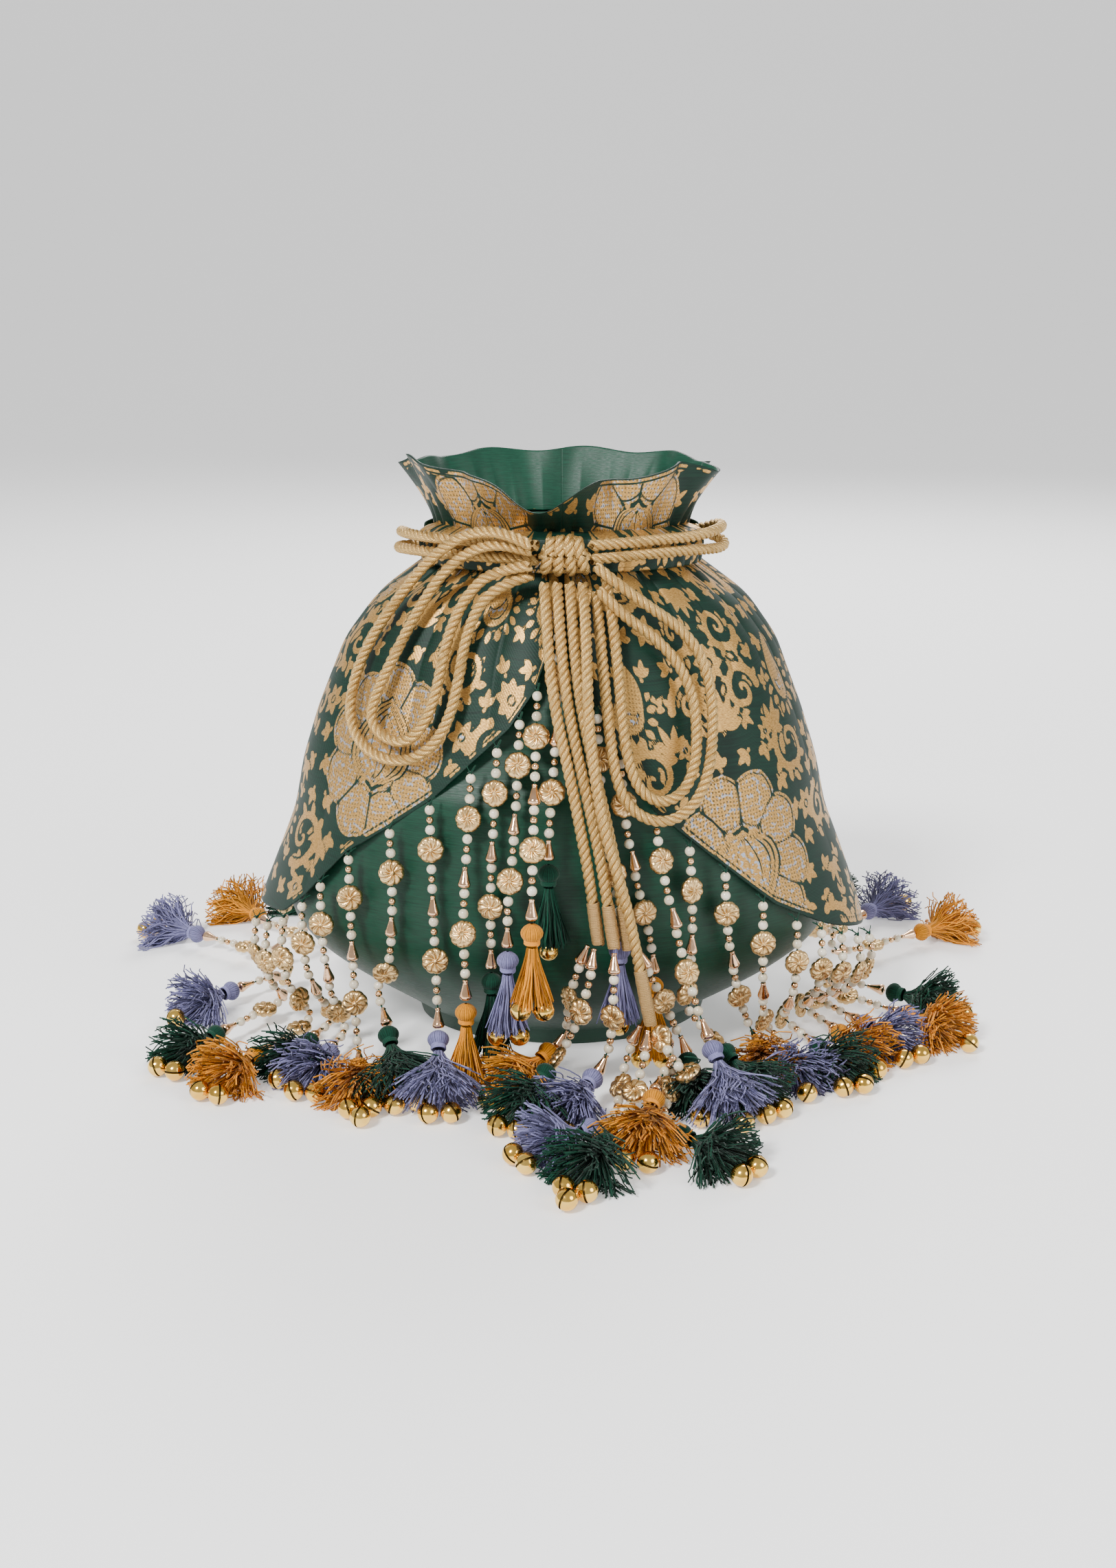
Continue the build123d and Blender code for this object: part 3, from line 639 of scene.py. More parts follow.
# ---------------------------------------------------------------- cloth shapes
def section(rows, heights):
    """Half width and half depth of a lofted shape at the heights, rounded between its rows."""
    z, a, b = np.array(rows, float).T
    fine = np.linspace(z[0], z[-1], 400)
    kernel = np.hanning(41) / np.hanning(41).sum()
    found = []
    for values in (a, b):
        line = np.pad(np.interp(fine, z, values), 20, mode="reflect", reflect_type="odd")
        found.append(np.interp(heights, fine, np.convolve(line, kernel, "valid")))
    return found


def arc_length(a, b, angles):
    """Distance round an ellipse from the front to each angle, where angle 0 is the front."""
    fine = np.linspace(-math.pi, math.pi, 4001)
    speed = np.hypot(a * np.cos(fine), b * np.sin(fine))
    run = np.concatenate([[0], np.cumsum((speed[1:] + speed[:-1]) / 2 * np.diff(fine))])
    run -= np.interp(0, fine, run)
    return np.interp(angles, fine, run)


def outward(turn):
    """Unit directions away from the bag's axis, where angle 0 is the front."""
    return np.stack([np.sin(turn), -np.cos(turn), 0 * turn], -1)


def two_sided(build, surface, inward, rows, columns, wrap, slots=(0, 0), **values):
    """A cloth with an outer and an inner face, closed round its free edges."""
    inner = surface + inward
    build.add(surface.reshape(-1, 3), grid(rows, columns, wrap), slots[0], **values)
    build.add(inner.reshape(-1, 3), grid(rows, columns, wrap)[:, ::-1], slots[1], **values)
    numbers = np.arange(rows * columns).reshape(rows, columns)
    base = build.count - 2 * rows * columns
    edges = [numbers[0], numbers[-1][::-1]]
    if wrap:
        edges = [np.append(e, e[0]) for e in edges]
    else:
        edges += [numbers[::-1, 0], numbers[:, -1]]
    for edge in edges:
        low, high = edge[:-1] + base, edge[1:] + base
        shift = rows * columns
        quads = np.stack([high, low, low + shift, high + shift], -1)
        build.quads.append(quads)
        build.slots.append(np.full(len(quads), slots[0]))


def cad_sections(node):
    """The lofted sections of a CAD shell, read from its mesh: height, half width, half depth."""
    points = np.concatenate(islands(node))
    levels, counts = np.unique(np.round(points[:, 2], 1), return_counts=True)
    rows = []
    for z in levels[counts > 0.4 * counts.max()]:
        ring = points[np.abs(points[:, 2] - z) < 0.06]
        rows.append((z, np.abs(ring[:, 0]).max(), np.abs(ring[:, 1]).max()))
    return rows


def hem_heights(hem, angles, heights):
    """For each angle, the height at which the overlay's surface meets its hem line."""
    a, _ = section(OVERLAY_SECTIONS, heights)
    x = np.abs(np.sin(angles))[:, None] * a[None]
    hem_x, hem_z = np.array(hem, float).T
    below = heights[None] < np.interp(x, hem_x, hem_z)
    last = heights.size - 1 - np.argmax(below[:, ::-1], axis=1)
    return np.where(below.any(1), heights[last], heights[0])


def pleats(angle, height):
    """Radial offset of the gathered cloth: sharp pleats at the neck that fade into soft folds."""
    down = OVERLAY_TOP - height
    lean = 0.0022 * down * np.sin(2 * angle + 0.6)
    sharp = np.abs(np.cos(13 * angle + 0.9 * np.sin(3 * angle) + 0.5 * np.sin(7 * angle) + lean)) ** 0.55
    medium = np.abs(np.cos(6.5 * angle + 0.8 * np.sin(2 * angle + 1.0) + 2 * lean)) ** 0.6
    broad = np.cos(5 * angle + 0.7 + 0.8 * np.sin(2 * angle))
    folds = 2.6 * np.exp(-down / 22) * (sharp - 1)
    folds += 3.0 * np.exp(-down / 52) * (medium - 1)
    folds += 1.2 * np.exp(-((down - 60) / 50) ** 2) * (broad - 1)
    return folds


def make_overlay(side, hem):
    """One brocade petal cloth from the casing to its hem, in one continuous sheet."""
    name = "left" if side < 0 else "right"
    columns, rows = 420, 150
    start = math.asin(HALF_FOLD_GAP / 45)
    angles = side * np.linspace(start, math.pi - start, columns)
    levels = np.linspace(30, OVERLAY_TOP, 900)
    low = hem_heights(hem, angles, levels)
    share = np.linspace(0, 1, rows)[:, None]
    height = OVERLAY_TOP + (low[None] - OVERLAY_TOP) * share
    a, b = section(OVERLAY_SECTIONS, height.ravel())
    a, b = a.reshape(height.shape), b.reshape(height.shape)
    turn = np.repeat(angles[None], rows, 0)
    offset = pleats(turn, height)
    offset += 0.8 * share * np.cos(9 * turn + 1.5) * np.exp(-((height - low) / 22) ** 2)
    gap = np.minimum(np.abs(turn), math.pi - np.abs(turn)) * 70
    offset *= np.clip(gap / 6, 0.2, 1)
    surface = np.stack([(a + offset) * np.sin(turn), -(b + offset) * np.cos(turn), height], -1)
    surface[..., 0] = side * np.maximum(side * surface[..., 0], HALF_FOLD_GAP)
    u = np.repeat(arc_length(110, 78, angles)[None], rows, 0)
    slope = np.linalg.norm(np.diff(surface, axis=0), axis=2)
    v = -np.concatenate([np.zeros((1, columns)), np.cumsum(slope, 0)])
    centre = (-81, -75) if side < 0 else (73, -113)
    pattern = Pattern(u - centre[0], v - centre[1]).draw(turned=side > 0)
    to_hem = (height - low) * 0.8
    pattern.gold = np.where(to_hem < 1.4, 0.8, pattern.gold)
    stitch = np.abs(to_hem - 2.6) + 0.25 * (np.sin(u * 3.4) > 0.2)
    pattern.line = np.where(to_hem < 4, stitch, pattern.line)
    piece = brocade_piece(f"overlay_{name}", None, surface, turn, u, v, pattern, CLOTH_THICKNESS)
    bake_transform(piece)
    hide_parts(f"overlay_{name}_yoke", f"overlay_{name}_petal")


def brocade_piece(name, body, surface, turn, u, v, pattern, thickness):
    """A brocade cloth with a green back, from a grid of points and its pattern."""
    build = Build()
    cloth = np.stack([u, v, 0 * u], -1).reshape(-1, 3)
    two_sided(build, surface, -outward(turn) * thickness, *turn.shape, False, (0, 1), cloth=cloth,
              **pattern.values())
    piece = build.piece(name, [BROCADE, LINING], body)
    return piece


def pouch_surface(inset, rows, columns):
    """The pouch's soft silk body; it slims under the overlay's gathers and wrinkles a little."""
    sections = cad_sections("pouch_shell")
    height = np.linspace(sections[0][0] + 0.05, sections[-1][0] - 2, rows)[:, None]
    turn = np.linspace(-math.pi, math.pi, columns, endpoint=False)[None]
    a, b = section(sections, height.ravel())
    height, turn = np.broadcast_arrays(height, turn)
    soft = 0.55 * (np.sin(5 * turn + 0.04 * height) - 1) + 0.35 * (np.sin(9 * turn - 0.06 * height + 2) - 1)
    crease = 0.5 * (np.sin(0.11 * height + 5 * turn + 2 * np.sin(3 * turn)) - 1)
    crease = crease * np.exp(-((height - 30) / 25) ** 2)
    slimmer = 4.0 * np.clip((height - 105) / 50, 0, 1)
    offset = (soft + crease) * np.clip(height / 12, 0, 1) - slimmer - inset
    a, b = a[:, None] + offset, b[:, None] + offset
    surface = np.stack([a * np.sin(turn), -b * np.cos(turn), height], -1)
    cloth = np.stack([turn * 92, height, 0 * turn], -1).reshape(-1, 3)
    return surface, cloth


def make_pouch():
    """Silk body and its lining, each closed at the bottom by a turned-in base."""
    for name, node, material, inset, slot in (("pouch", "pouch_shell", SILK, 0.0, "silk"),
                                              ("lining", "pouch_lining", LINING, 1.7, "lining")):
        columns = 330
        surface, cloth = pouch_surface(inset, 190, columns)
        lift = 0.2 if inset == 0 else 3.8
        surface[..., 2] = np.maximum(surface[..., 2], lift)
        scales = np.linspace(0.03, 0.97, 12)
        base = np.stack([surface[0] * (scale, scale, 0) + (0, 0, lift) for scale in scales])
        points = np.concatenate([base, surface])
        cloth = np.concatenate([base.reshape(-1, 3), cloth])
        inward = -points * (1, 1, 0) / np.linalg.norm(points[..., :2], axis=2)[..., None] * 0.6
        inward[:len(scales)] = (0, 0, 0.6)
        build = Build()
        two_sided(build, points, inward, len(points), columns, True, cloth=cloth)
        piece = build.piece(name, [material], "bag")
        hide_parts(node)


def rim(turn):
    """Height and spread of the frill's rim round the mouth, where angle 0 is the front."""
    height = 208 + 2.5 * (1 - np.cos(turn)) + 0.9 * np.sin(9 * turn)
    height -= 9.5 * np.exp(-((turn + 0.14) / 0.22) ** 2)
    height += 5.5 * np.exp(-((turn + 1.10) / 0.42) ** 2)
    height += 4.0 * np.exp(-((turn - 0.85) / 0.28) ** 2)
    front = 0.25 + 0.75 * np.cos(turn / 2) ** 2
    wave = front * (3.6 * np.sin(5 * turn + 2.2) + 2.8 * np.sin(11 * turn + 0.5) + 1.2 * np.sin(19 * turn))
    wave -= 6.5 * np.exp(-((turn - 0.42) / 0.10) ** 2)
    wave += 5.0 * np.exp(-((turn + 0.85) / 0.30) ** 2)
    return height, wave


def frill_surface(side, rows, columns):
    """Points of half the frill, with each one's angle, share of the height and place on the cloth."""
    angles = side * np.linspace(0, math.pi, columns)
    share = np.linspace(0, 1, rows)[:, None]
    turn = np.repeat(angles[None], rows, 0)
    top, wave = rim(turn)
    height = FRILL_LOW + (top - FRILL_LOW) * share
    wide = 46.6 + 9.5 * share ** 1.3 + wave * share ** 1.4
    deep = 34.8 + 8.5 * share ** 1.3 + wave * share ** 1.4
    tuck = 1.4 * (np.abs(np.cos(15 * turn + np.sin(5 * turn))) - 0.5) * (1 - share) ** 1.2
    surface = np.stack([(wide + tuck) * np.sin(turn), -(deep + tuck) * np.cos(turn), height], -1)
    u = np.repeat(arc_length(82, 60, angles)[None], rows, 0)
    v = -height
    return surface, turn, share, u, v


def make_frill(side):
    """Gathered heading above the drawstring: brocade outside, green lining inside, a turned rim."""
    name = "left" if side < 0 else "right"
    rows, columns = 44, 330
    surface, turn, share, u, v = frill_surface(side, rows, columns)
    pattern = Pattern(u - side * 46, v + 188).draw(turned=False)
    from_rim = (1 - share) * 22 + 0 * u
    pattern.gold = np.where(from_rim < 0.8, 0.8, pattern.gold)
    pattern.line = np.where(from_rim < 3, np.abs(from_rim - 2.2), pattern.line)
    piece = brocade_piece(f"frill_cloth_{name}", "bag", surface, turn, u, v, pattern, 1.1)
    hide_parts(f"frill_{name}", "frill_facing")


def make_casing(front):
    """Half of the drawstring casing, drawn up into close vertical pleats."""
    name = "front" if front else "back"
    gap = math.asin(EXIT_HALF_WIDTH / CASING_DEEP)
    half = math.pi / 2 - gap
    rows, columns = 26, 300
    angles = np.linspace(-half, half, columns) + (0 if front else math.pi)
    share = np.linspace(0, 1, rows)[:, None]
    turn = np.repeat(angles[None], rows, 0)
    height = CASING_LOW + (CASING_HIGH - CASING_LOW) * share + 0 * turn
    belly = 1.0 * np.sin(math.pi * share) - 5.2 * np.clip((share - 0.82) / 0.18, 0, 1) ** 1.5
    fold = 0.85 * (np.abs(np.cos(24 * turn + 0.8 * np.sin(5 * turn))) ** 0.8 - 1)
    surface = np.stack([(CASING_WIDE + belly + fold) * np.sin(turn),
                        -(CASING_DEEP + belly + fold) * np.cos(turn), height], -1)
    along = arc_length(82, 60, angles) if front else angles * 72
    u = np.repeat(along[None], rows, 0)
    v = -height
    pattern = Pattern(u, v + 150).draw(turned=False)
    pattern.line = np.where(np.abs(share - 0.12) * 14 + 0 * u < 0.5, 0.1, pattern.line)
    piece = brocade_piece(f"casing_cloth_{name}", "bag", surface, turn, u, v, pattern, CLOTH_THICKNESS)
    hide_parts(f"drawstring_casing_{name}")


# ---------------------------------------------------------------- cords
def spline_points(name, points):
    """The smooth line that a cord follows, read from a NURBS curve through its route."""
    curve = bpy.data.curves.new(name + "_route", "CURVE")
    curve.dimensions = "3D"
    curve.resolution_u = 16
    spline = curve.splines.new("NURBS")
    spline.points.add(len(points) - 1)
    for point, place in zip(spline.points, points):
        point.co = (*[c * MM for c in place], 1.0)
    spline.order_u = 3
    spline.use_endpoint_u = True
    holder = bpy.data.objects.new(name + "_route", curve)
    bpy.context.scene.collection.objects.link(holder)
    bpy.context.view_layer.update()
    mesh = bpy.data.meshes.new_from_object(holder)
    line = np.array([v.co for v in mesh.vertices]) / MM
    bpy.data.objects.remove(holder)
    bpy.data.curves.remove(curve)
    bpy.data.meshes.remove(mesh)
    return line


def add_twisted(build, path, diameter=CORD_DIAMETER, slot=0, phase=0.0):
    """Three plies laid round a path."""
    path = resampled(path, 0.62)
    across, other = transported(path)
    run = np.concatenate([[0], np.cumsum(np.linalg.norm(np.diff(path, axis=0), axis=1))])
    ply = diameter / 2 / 2.155
    for k in range(3):
        turn = 2 * math.pi * (run / (PLY_TURN * diameter / CORD_DIAMETER) + k / 3) + phase
        line = path + 1.155 * ply * (across * np.cos(turn)[:, None] + other * np.sin(turn)[:, None])
        sides = 9
        points, quads = sweep(line, ply * 1.04, sides)
        around = np.tile(np.arange(sides) / sides * 6, len(line))
        yarn = np.stack([around, np.repeat(run, sides) * 1.6, 0 * around], -1)
        build.add(points, quads, slot, yarn=yarn)
    return path


def make_cord(name, points):
    """A twisted cord along its route. The length given for it is that of its own line."""
    build = Build()
    path = add_twisted(build, spline_points(name, points), phase=len(name))
    piece = build.piece(name + "_cord", [GILT_CORD], BODY_OF[name])
    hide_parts(name)


def make_knot():
    """The bow's knot: turns of cord wrapped tightly round the crossing cords."""
    low, high = (np.array(corner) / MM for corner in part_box("bow_knot"))
    centre, half = (low + high) / 2, (high - low) / 2
    build = Build()
    turns = [(-5.6, 12, 0.92), (-1.9, 5, 1.0), (1.9, -4, 1.0), (5.6, -14, 0.92)]
    around = np.linspace(0, 2 * math.pi, 70)
    for shift, tilt, scale in turns:
        lean = math.tan(math.radians(tilt))
        y = -(half[1] - 1.7) * scale * np.cos(around)
        z = (half[2] - 1.6) * scale * np.sin(around)
        ring = np.stack([shift + z * lean, y, z], -1) + centre
        add_twisted(build, ring, 4.1, phase=shift)
    band = np.linspace(-1, 1, 40)
    for rise, depth in ((2.6, 0.5), (-2.4, 1.2)):
        line = np.stack([band * (half[0] - 0.6), -(half[1] - 2.0 - depth) * np.cos(band * 1.1),
                         rise * np.cos(band * 2.0)], -1)
        add_twisted(build, line + centre, 4.0, phase=rise)
    piece = build.piece("bow_knot_wrapped", [GILT_CORD], BODY_OF["bow_knot"])
    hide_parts("bow_knot")


def make_whipping(name, node, points):
    """Fine wire wound closely round the end of a tail."""
    axis = principal(points)[2]
    axis = axis if axis[2] < 0 else -axis
    centre = points.mean(0)
    run = (points - centre) @ axis
    length = run.max() - run.min()
    start = centre + axis * run.min()
    local = axes(axis)
    turns = length / 0.62
    t = np.linspace(0, 1, int(turns * 14))
    bulge = 1.92 + 0.12 * np.sin(t * math.pi) + 0.05 * np.sin(t * 37)
    angle = t * turns * 2 * math.pi
    line = np.stack([bulge * np.cos(angle), bulge * np.sin(angle), t * length], -1)
    build = Build()
    tube, quads = sweep(placed(line, start, local), 0.34, 5)
    yarn = np.stack([np.tile(np.arange(5), len(line)), np.repeat(angle, 5) * 2, np.zeros(len(line) * 5)], -1)
    build.add(tube, quads, yarn=yarn)
    core, core_quads = lathe([(0.1, 0), (1.8, 0.1), (1.8, length - 0.1), (0.1, length)], 16)
    build.add(placed(core, start, local), core_quads, yarn=core * 1.0)
    piece = build.piece(name, [WIRE], BODY_OF[node])
    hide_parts(node)
    return piece


# ---------------------------------------------------------------- beads
def ball(radius, hole, rows=9, sides=14):
    """A bead with its thread hole along Z."""
    low = math.asin(hole / radius)
    angles = np.linspace(low, math.pi - low, rows)
    profile = [(hole * 0.6, radius * math.cos(low) * 0.9)]
    profile += [(radius * math.sin(t), radius * math.cos(t)) for t in angles]
    profile += [(hole * 0.6, -radius * math.cos(low) * 0.9)]
    return lathe(profile, sides)


def drop_bead():
    """A slender drop, narrow collar at the top and a rounded wide foot."""
    half = DROP_LENGTH / 2
    profile = [(0.3, -half), (0.85, -half), (1.0, -half + 0.35), (0.78, -half + 0.8), (0.95, -half + 1.5),
               (1.3, -half + 2.9), (1.72, -half + 4.4), (2.1, -half + 5.6), (2.18, -half + 6.2),
               (1.95, -half + 6.8), (1.3, -half + 7.15), (0.35, half)]
    return lathe(profile, 18)


def rosette_bead(radius=ROSETTE_RADIUS, depth=2.0, petals=9):
    """A two-faced rosette of swirled petals round a small boss."""
    sides = petals * 10
    turn = np.linspace(0, 2 * math.pi, sides, endpoint=False)[None]
    share = np.array([0.0, 0.1, 0.17, 0.26, 0.4, 0.55, 0.7, 0.83, 0.93, 0.985, 1.0])[:, None]
    phase = (turn * petals / (2 * math.pi) + 0.75 * share) % 1
    dome = np.sqrt(np.maximum(0, 1 - (2 * phase - 1) ** 2))
    edge = 1 - 0.085 * (1 - dome) * share
    height = depth * (0.46 + 0.54 * dome) * (1 - share ** 5) ** 0.5 * (0.72 + 0.28 * share)
    boss = depth * (0.62 + 0.38 * np.sqrt(np.maximum(0, 1 - (share / 0.17) ** 2)))
    height = np.where(share < 0.17, boss, height)
    reach = radius * share * edge + 0.02
    points = np.stack([reach * np.cos(turn), reach * np.sin(turn), height], -1)
    back = points[::-1].copy()
    back[..., 2] *= -1
    whole = np.concatenate([points, back])
    return whole.reshape(-1, 3), grid(len(whole), sides)


PEARL_MESH = ball(PEARL_RADIUS, 0.42)
GILT_MESH = ball(GILT_RADIUS, 0.4, 8, 12)
DROP_MESH = drop_bead()
ROSETTE_MESH = rosette_bead()
BEAD_MATERIALS = [PEARL, GILT, CHAMPAGNE, ROSE_GOLD, SEWING]


def bead_kind(points):
    """Which bead a CAD solid stands for, from how far it reaches from its middle."""
    reach = np.linalg.norm(points - middle(points), axis=1).max()
    for kind, farthest in BEAD_REACH.items():
        if reach < farthest:
            return kind
    return "rosette"


def add_bead(build, kind, points, along):
    centre = middle(points)
    if kind == "pearl":
        build.add(placed(PEARL_MESH[0], centre, axes(along)), PEARL_MESH[1], 0)
    elif kind == "gilt":
        build.add(placed(GILT_MESH[0], centre, axes(along)), GILT_MESH[1], 1)
    elif kind == "rosette":
        face = principal(points)[0]
        build.add(placed(ROSETTE_MESH[0], centre, axes(face, along)), ROSETTE_MESH[1], 2)
    else:
        axis = principal(points)[2]
        axis = axis if axis @ along > 0 else -axis
        build.add(placed(DROP_MESH[0], centre, axes(axis)), DROP_MESH[1], 3)


def add_thread(build, path, radius=0.3, slot=4):
    path = np.array(path, float)
    points, quads = sweep(resampled(path, 1.2), radius, 5)
    build.add(points, quads, slot, tone=np.full(len(points), 0.55))


def add_sewn_knot(build, place, up):
    """The thread that ties a strand to the hem: a small knot with two cut ends."""
    local = axes(up)
    t = np.linspace(0, 2 * math.pi, 26)
    knot = np.stack([0.75 * np.sin(t) + 0.45 * np.sin(2 * t), 0.75 * np.cos(t) - 0.45 * np.cos(2 * t),
                     0.55 * np.sin(3 * t)], -1)
    add_thread(build, placed(knot, place, local), 0.3)
    for side in (1, -1):
        end = np.array([(0, 0, 0), (side * 0.9, 0.5, 0.8), (side * 1.5, 0.7, 2.4)])
        add_thread(build, placed(end, place, local), 0.17)


def make_beads(node, sewn):
    """All the beads of a node on their threads, each where its CAD solid is."""
    solids = islands(node)
    centres = [middle(p) for p in solids]
    build = Build()
    strands, strand = [], [0]
    for i in range(1, len(solids)):
        if np.linalg.norm(centres[i] - centres[i - 1]) < NEXT_BEAD:
            strand.append(i)
        else:
            strands.append(strand)
            strand = [i]
    strands.append(strand)
    for strand in strands:
        line = np.array([centres[i] for i in strand])
        if len(strand) > 1:
            direction = np.gradient(line, axis=0)
            add_thread(build, line)
        else:
            direction = np.array([[0, 0, -1.0]])
        for i, along in zip(strand, direction):
            add_bead(build, bead_kind(solids[i]), solids[i], along)
        up = -unit(direction[0])
        tie = centres[strand[0]] + up * 2.1
        if sewn:
            inward = unit(np.array([-tie[0], -tie[1], 0.0]))
            add_sewn_knot(build, tie, up)
            add_thread(build, [tie, tie + up * 1.2 + inward * 1.6, tie + up * 1.6 + inward * 3.2], 0.26)
    piece = build.piece(node + "_strung", BEAD_MATERIALS, BODY_OF[node])
    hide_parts(node)


# ---------------------------------------------------------------- tassels and bells
def tassel_frame(points):
    """Head and direction of a tassel, whose narrow tip is its head."""
    axis = principal(points)[2]
    centre = middle(points)
    run = (points - centre) @ axis
    away = np.linalg.norm(points - centre - run[:, None] * axis, axis=1)
    if away[run > run.max() - 1].max() < away[run < run.min() + 1].max():
        axis = -axis
        run = -run
    head = points.mean(0)
    head = head + axis * (((points - head) @ axis).min())
    return head, axis


def add_tassel(build, points, slot, seed):
    """A tied tassel: threads folded over a round head, a bound neck and a cut skirt."""
    head, axis = tassel_frame(points)
    random = np.random.default_rng(seed)
    hanging = axis[2] < -0.97
    local = axes(axis)
    add_tassel_head(build, head, local, slot)
    count, steps = HANGING_THREADS if hanging else LYING_THREADS, THREAD_POINTS
    turn = random.uniform(0, 2 * math.pi, count)
    share = np.sqrt(random.uniform(0, 1, count))
    spread = share * (0.50 if hanging else 1.30) * random.uniform(0.8, 1.12, count)
    length = (TASSEL_LENGTH - TASSEL_NECK) * random.uniform(0.93, 1.04, count)
    t = np.linspace(0, 1, steps)[None]
    bend = spread[:, None] * (1 - np.exp(-3.2 * t)) * (1 + (-0.35 if hanging else -0.1) * t)
    step = length[:, None] / (steps - 1)
    out = 1.7 * share[:, None] + np.cumsum(np.sin(bend) * step, 1)
    down = TASSEL_NECK - 1.2 + np.cumsum(np.cos(bend) * step, 1)
    wobble = random.normal(0, 0.35, (count, 1)) * t ** 2
    wobble = wobble + 0.16 * np.sin(9 * t + random.uniform(0, 6, (count, 1)))
    angle = turn[:, None] + wobble * (0.35 if hanging else 0.8)
    line = np.stack([out * np.cos(angle), out * np.sin(angle), down], -1)
    world = placed(line.reshape(-1, 3), head, local).reshape(line.shape)
    if not hanging:
        settle = 3.2 * t ** 2 * np.clip(share[:, None], 0.3, 1)
        world[..., 2] -= settle
    floor = 0.35 + 1.5 * random.uniform(0, 1, (count, 1)) ** 2
    world[..., 2] = np.maximum(world[..., 2], floor)
    add_fibres(build, world, 0.24 if hanging else 0.27, slot, random.uniform(0, 1, count))
    return head, axis


def add_fibres(build, lines, radius, slot, tone):
    """Three-sided threads along many lines at once."""
    count, steps, _ = lines.shape
    tangent = np.gradient(lines, axis=1)
    tangent /= np.linalg.norm(tangent, axis=2)[..., None] + 1e-9
    across = np.cross(tangent, np.array([0.31, 0.52, 0.79]))
    across /= np.linalg.norm(across, axis=2)[..., None] + 1e-9
    other = np.cross(tangent, across)
    turn = np.array([0, 2.0944, 4.1888])
    ring = across[:, :, None] * np.cos(turn)[:, None] + other[:, :, None] * np.sin(turn)[:, None]
    points = lines[:, :, None] + ring * radius
    quads = grid(steps, 3)[None] + (np.arange(count) * steps * 3)[:, None, None]
    build.add(points.reshape(-1, 3), quads.reshape(-1, 4), slot, tone=np.repeat(tone, steps * 3))


def add_tassel_head(build, head, local, slot):
    """The folded threads of the head and the turns that bind the neck."""
    ridge = 0.13
    sides = 54
    rows = [(0.5, 0.4), (1.6, 0.8), (2.7, 1.6), (3.45, 2.6), (3.7, 3.6), (3.55, 4.5), (3.0, 5.5),
            (2.4, 6.2), (2.15, 6.9), (2.3, 7.8)]
    points, quads = lathe(rows, sides)
    number = np.tile(np.arange(sides), len(rows))
    swell = 1 + ridge * 0.35 * (np.cos(number * math.pi) - 0.2)
    points[:, :2] *= swell[:, None]
    # painted shade: the tone is lighter on the columns that swell out and darker in the grooves between them,
    # with a small extra change from column to column
    tone = 0.42 + 0.25 * np.cos(number * math.pi) + 0.1 * np.sin(number * 1.7)
    build.add(placed(points, head, local), quads, slot, tone=tone)
    turns = np.linspace(0, 3.2 * 2 * math.pi, 66)
    bind = np.stack([2.5 * np.cos(turns), 2.5 * np.sin(turns), 6.1 + turns * 0.075], -1)
    tube, tube_quads = sweep(placed(bind, head, local), 0.3, 5)
    build.add(tube, tube_quads, slot, tone=np.full(len(tube), 0.75))


TASSEL_ORDER = {
    "fringe_apex": ["green", "ochre", "lavender", "green", "lavender", "ochre"],
    "fringe_left_front": ["ochre", "lavender", "green", "ochre"],
    "fringe_left_corner": ["lavender", "green", "ochre", "green", "lavender"],
    "fringe_right_front": ["lavender", "green", "ochre", "lavender"],
    "fringe_right_corner": ["green", "ochre", "lavender", "ochre", "green"],
    "fringe_left_back": ["ochre", "lavender", "green"],
    "fringe_right_back": ["lavender", "ochre", "green"],
    "cord_end_short": ["ochre", "green", "lavender", "green"],
    "cord_end_long": ["lavender", "green", "ochre", "green"],
}
TASSEL_MATERIALS = [THREAD_COLOURS[name] for name in ("green", "ochre", "lavender")]


def make_tassels(group):
    """All the tassels of a group; returns the head and direction of each."""
    node = group + "_tassels"
    build = Build()
    order = TASSEL_ORDER[group]
    ends = []
    for i, points in enumerate(islands(node)):
        slot = ("green", "ochre", "lavender").index(order[i % len(order)])
        ends.append(add_tassel(build, points, slot, 17 * i + len(group)))
    piece = build.piece(node + "_threads", TASSEL_MATERIALS, BODY_OF[node])
    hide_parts(node)
    return ends


def bell_mesh():
    """A jingle bell about its own Z, which points out through its slit; shell and slit."""
    sides, half = 30, 0.1
    one = np.linspace(0.03, math.pi / 2 - half, 8)
    angles = np.concatenate([one, math.pi - one[::-1]])
    turn = np.linspace(0, 2 * math.pi, sides, endpoint=False)
    x = BELL_RADIUS * np.cos(angles)[:, None] + 0 * turn[None]
    ring = BELL_RADIUS * np.sin(angles)[:, None]
    points = np.stack([x, ring * np.sin(turn), ring * np.cos(turn)], -1).reshape(-1, 3)
    quads = grid(len(angles), sides)
    row, column = np.divmod(np.arange(len(quads)), sides)
    facing = np.cos(turn[column] + math.pi / sides)
    slit = (row == 7) & (facing > -0.35)
    return points, quads[~slit]


BELL_MESH = bell_mesh()
# A dark ball just inside each bell's shell: painted shade that shows through the slit.
BELL_SHADE_BALL = ball(BELL_RADIUS * 0.9, 0.2, 10, 20)


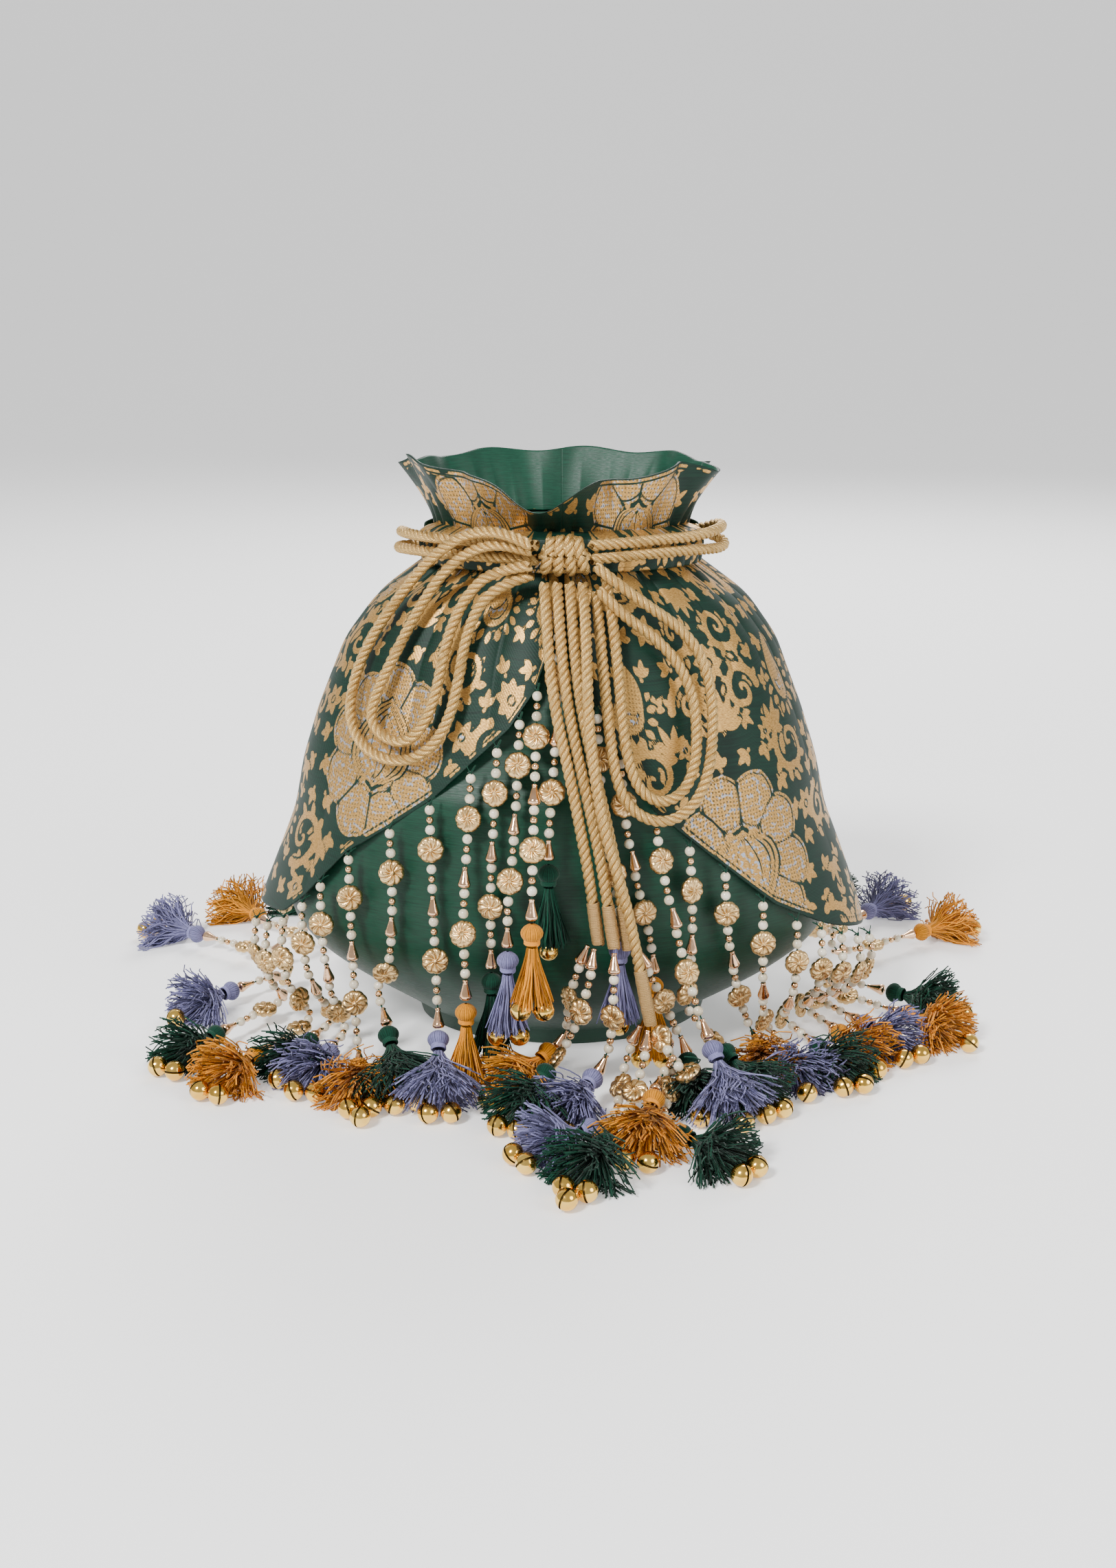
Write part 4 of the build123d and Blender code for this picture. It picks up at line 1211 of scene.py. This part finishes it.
def make_bells(group, ends):
    """Bells with their slit turned away from the tassel, each with a small eye."""
    node = group + "_bells"
    build = Build()
    for i, points in enumerate(islands(node)):
        centre = middle(points)
        tips = [head + axis * (TASSEL_LENGTH - 5) for head, axis in ends]
        tip = min(tips, key=lambda p: np.linalg.norm(p - centre))
        away = centre - tip
        lean = np.array([math.sin(2.4 * i), math.cos(1.7 * i), 0.9]) * 0.55
        mouth = unit(unit(away) + lean + np.array([0, -0.35, 0.1]))
        local = axes(mouth, (math.sin(1.3 * i), math.cos(1.3 * i), 0.3))
        build.add(placed(BELL_MESH[0], centre, local), BELL_MESH[1], 0)
        # the dark inner ball is painted shade inside the bell
        build.add(placed(BELL_SHADE_BALL[0], centre, local), BELL_SHADE_BALL[1], 1)
        t = np.linspace(0, 2 * math.pi, 17)
        eye = np.stack([0.85 * np.sin(t), 0 * t, -BELL_RADIUS - 0.15 + 0.75 * np.cos(t)], -1)
        eye = placed(eye, centre, local)
        eye[:, 2] = np.maximum(eye[:, 2], 0.3)
        tube, quads = sweep(eye, 0.26, 6)
        build.add(tube, quads, 0)
    piece = build.piece(node + "_slit", [BRASS, BELL_SHADE_BRASS], BODY_OF[node])
    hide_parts(node)


# ---------------------------------------------------------------- stage, light, camera
def make_stage():
    """A white floor that runs up into a white wall behind the object."""
    s = Shader("floor_paper", Base_Color=(0.93, 0.93, 0.93), Roughness=0.9,
               Emission_Color=(1.0, 1.0, 1.0), Emission_Strength=0.32)
    place = s.node("ShaderNodeTexCoord").outputs["Object"]
    s.bump(s.noise(place, 60.0, 2.0), 0.04)
    bend = np.linspace(0, math.pi / 2, 24)
    profile = [(-6.0, 0.0)] + [(3.0 + 2 * math.sin(t), 2 - 2 * math.cos(t)) for t in bend] + [(5.0, 9.0)]
    points = np.array([(x, y, z) for y, z in profile for x in (-9.0, 9.0)]) / MM
    build = Build()
    build.add(points, grid(len(profile), 2, wrap=False)[:, ::-1])
    floor = build.piece("floor", [s.material])


def make_light(name, place, size, power, colour=(1, 1, 1)):
    data = bpy.data.lights.new(name, "AREA")
    data.shape = "DISK"
    data.size = size
    data.energy = power
    data.color = colour
    light = bpy.data.objects.new(name, data)
    light.location = place
    direction = Vector((0, 0, 0.09)) - Vector(place)
    light.rotation_euler = direction.to_track_quat("-Z", "Y").to_euler()
    bpy.context.scene.collection.objects.link(light)


def make_world():
    world = bpy.data.worlds.new("studio")
    world.use_nodes = True
    background = world.node_tree.nodes["Background"]
    background.inputs["Color"].default_value = (1.0, 1.0, 1.0, 1.0)
    background.inputs["Strength"].default_value = 0.55
    bpy.context.scene.world = world


def make_camera():
    data = bpy.data.cameras.new("camera")
    data.sensor_fit = "VERTICAL"
    data.sensor_height = 36.0
    data.lens = data.sensor_height * FOCAL_LENGTH / PICTURE_HEIGHT
    camera = bpy.data.objects.new("camera", data)
    camera.location = CAMERA_PLACE
    camera.rotation_euler = (math.radians(90 - CAMERA_TILT_DOWN), 0, 0)
    bpy.context.scene.collection.objects.link(camera)
    bpy.context.scene.camera = camera


def keep_node(node, material):
    """A CAD node whose shape is right: it keeps its mesh and takes a better material."""
    holder = frame["nodes"][node]
    holder.data.materials.clear()
    holder.data.materials.append(material)


def board():
    """Green fibrous paper of the covered base board."""
    s = Shader("covered_board", Roughness=0.8)
    place = s.node("ShaderNodeTexCoord").outputs["Object"]
    fibre = s.noise(s.scaled(place, (900, 120, 400)), 1.0, 3.0)
    s.link(s.mix(fibre, (0.02, 0.06, 0.04), (0.04, 0.11, 0.07)), "Base Color")
    return s.bump(fibre, 0.3).material


def main():
    make_camera()
    make_world()
    make_stage()
    make_light("key", (-0.9, -1.3, 1.5), 0.45, 62)
    make_light("fill", (1.3, -1.0, 0.9), 1.0, 14)
    make_light("back", (0.3, 1.3, 1.2), 0.9, 26)

    make_pouch()
    make_overlay(-1, HEM_LEFT)
    make_overlay(1, HEM_RIGHT)
    for side in (-1, 1):
        make_frill(side)
    for front in (True, False):
        make_casing(front)
    keep_node("base_board", board())
    for side in ("left", "right"):
        gilt = metallic(f"channel_gilt_{side}", (0.62, 0.42, 0.18), (0.4, 0.25, 0.1), 0.45)
        keep_node(f"channel_cord_{side}", gilt)

    for group in TASSEL_ORDER:
        make_bells(group, make_tassels(group))
        make_beads(group + "_beads", sewn=not group.startswith("cord_end"))

    for name, points in {**LEADS, **LOOPS}.items():
        make_cord(name, points)
    make_knot()
    whippings = islands("whippings_short")
    for name, points in TAILS.items():
        end = np.array(points[-1])
        if name == "tail_long":
            node, solid = "whipping_long", np.concatenate(islands("whipping_long"))
        else:
            node = "whippings_short"
            solid = min(whippings, key=lambda p: np.linalg.norm(p - end, axis=1).min())
        wound = make_whipping(name.replace("tail", "whipping") + "_wire", node, solid)
        make_cord(name, points)


main()
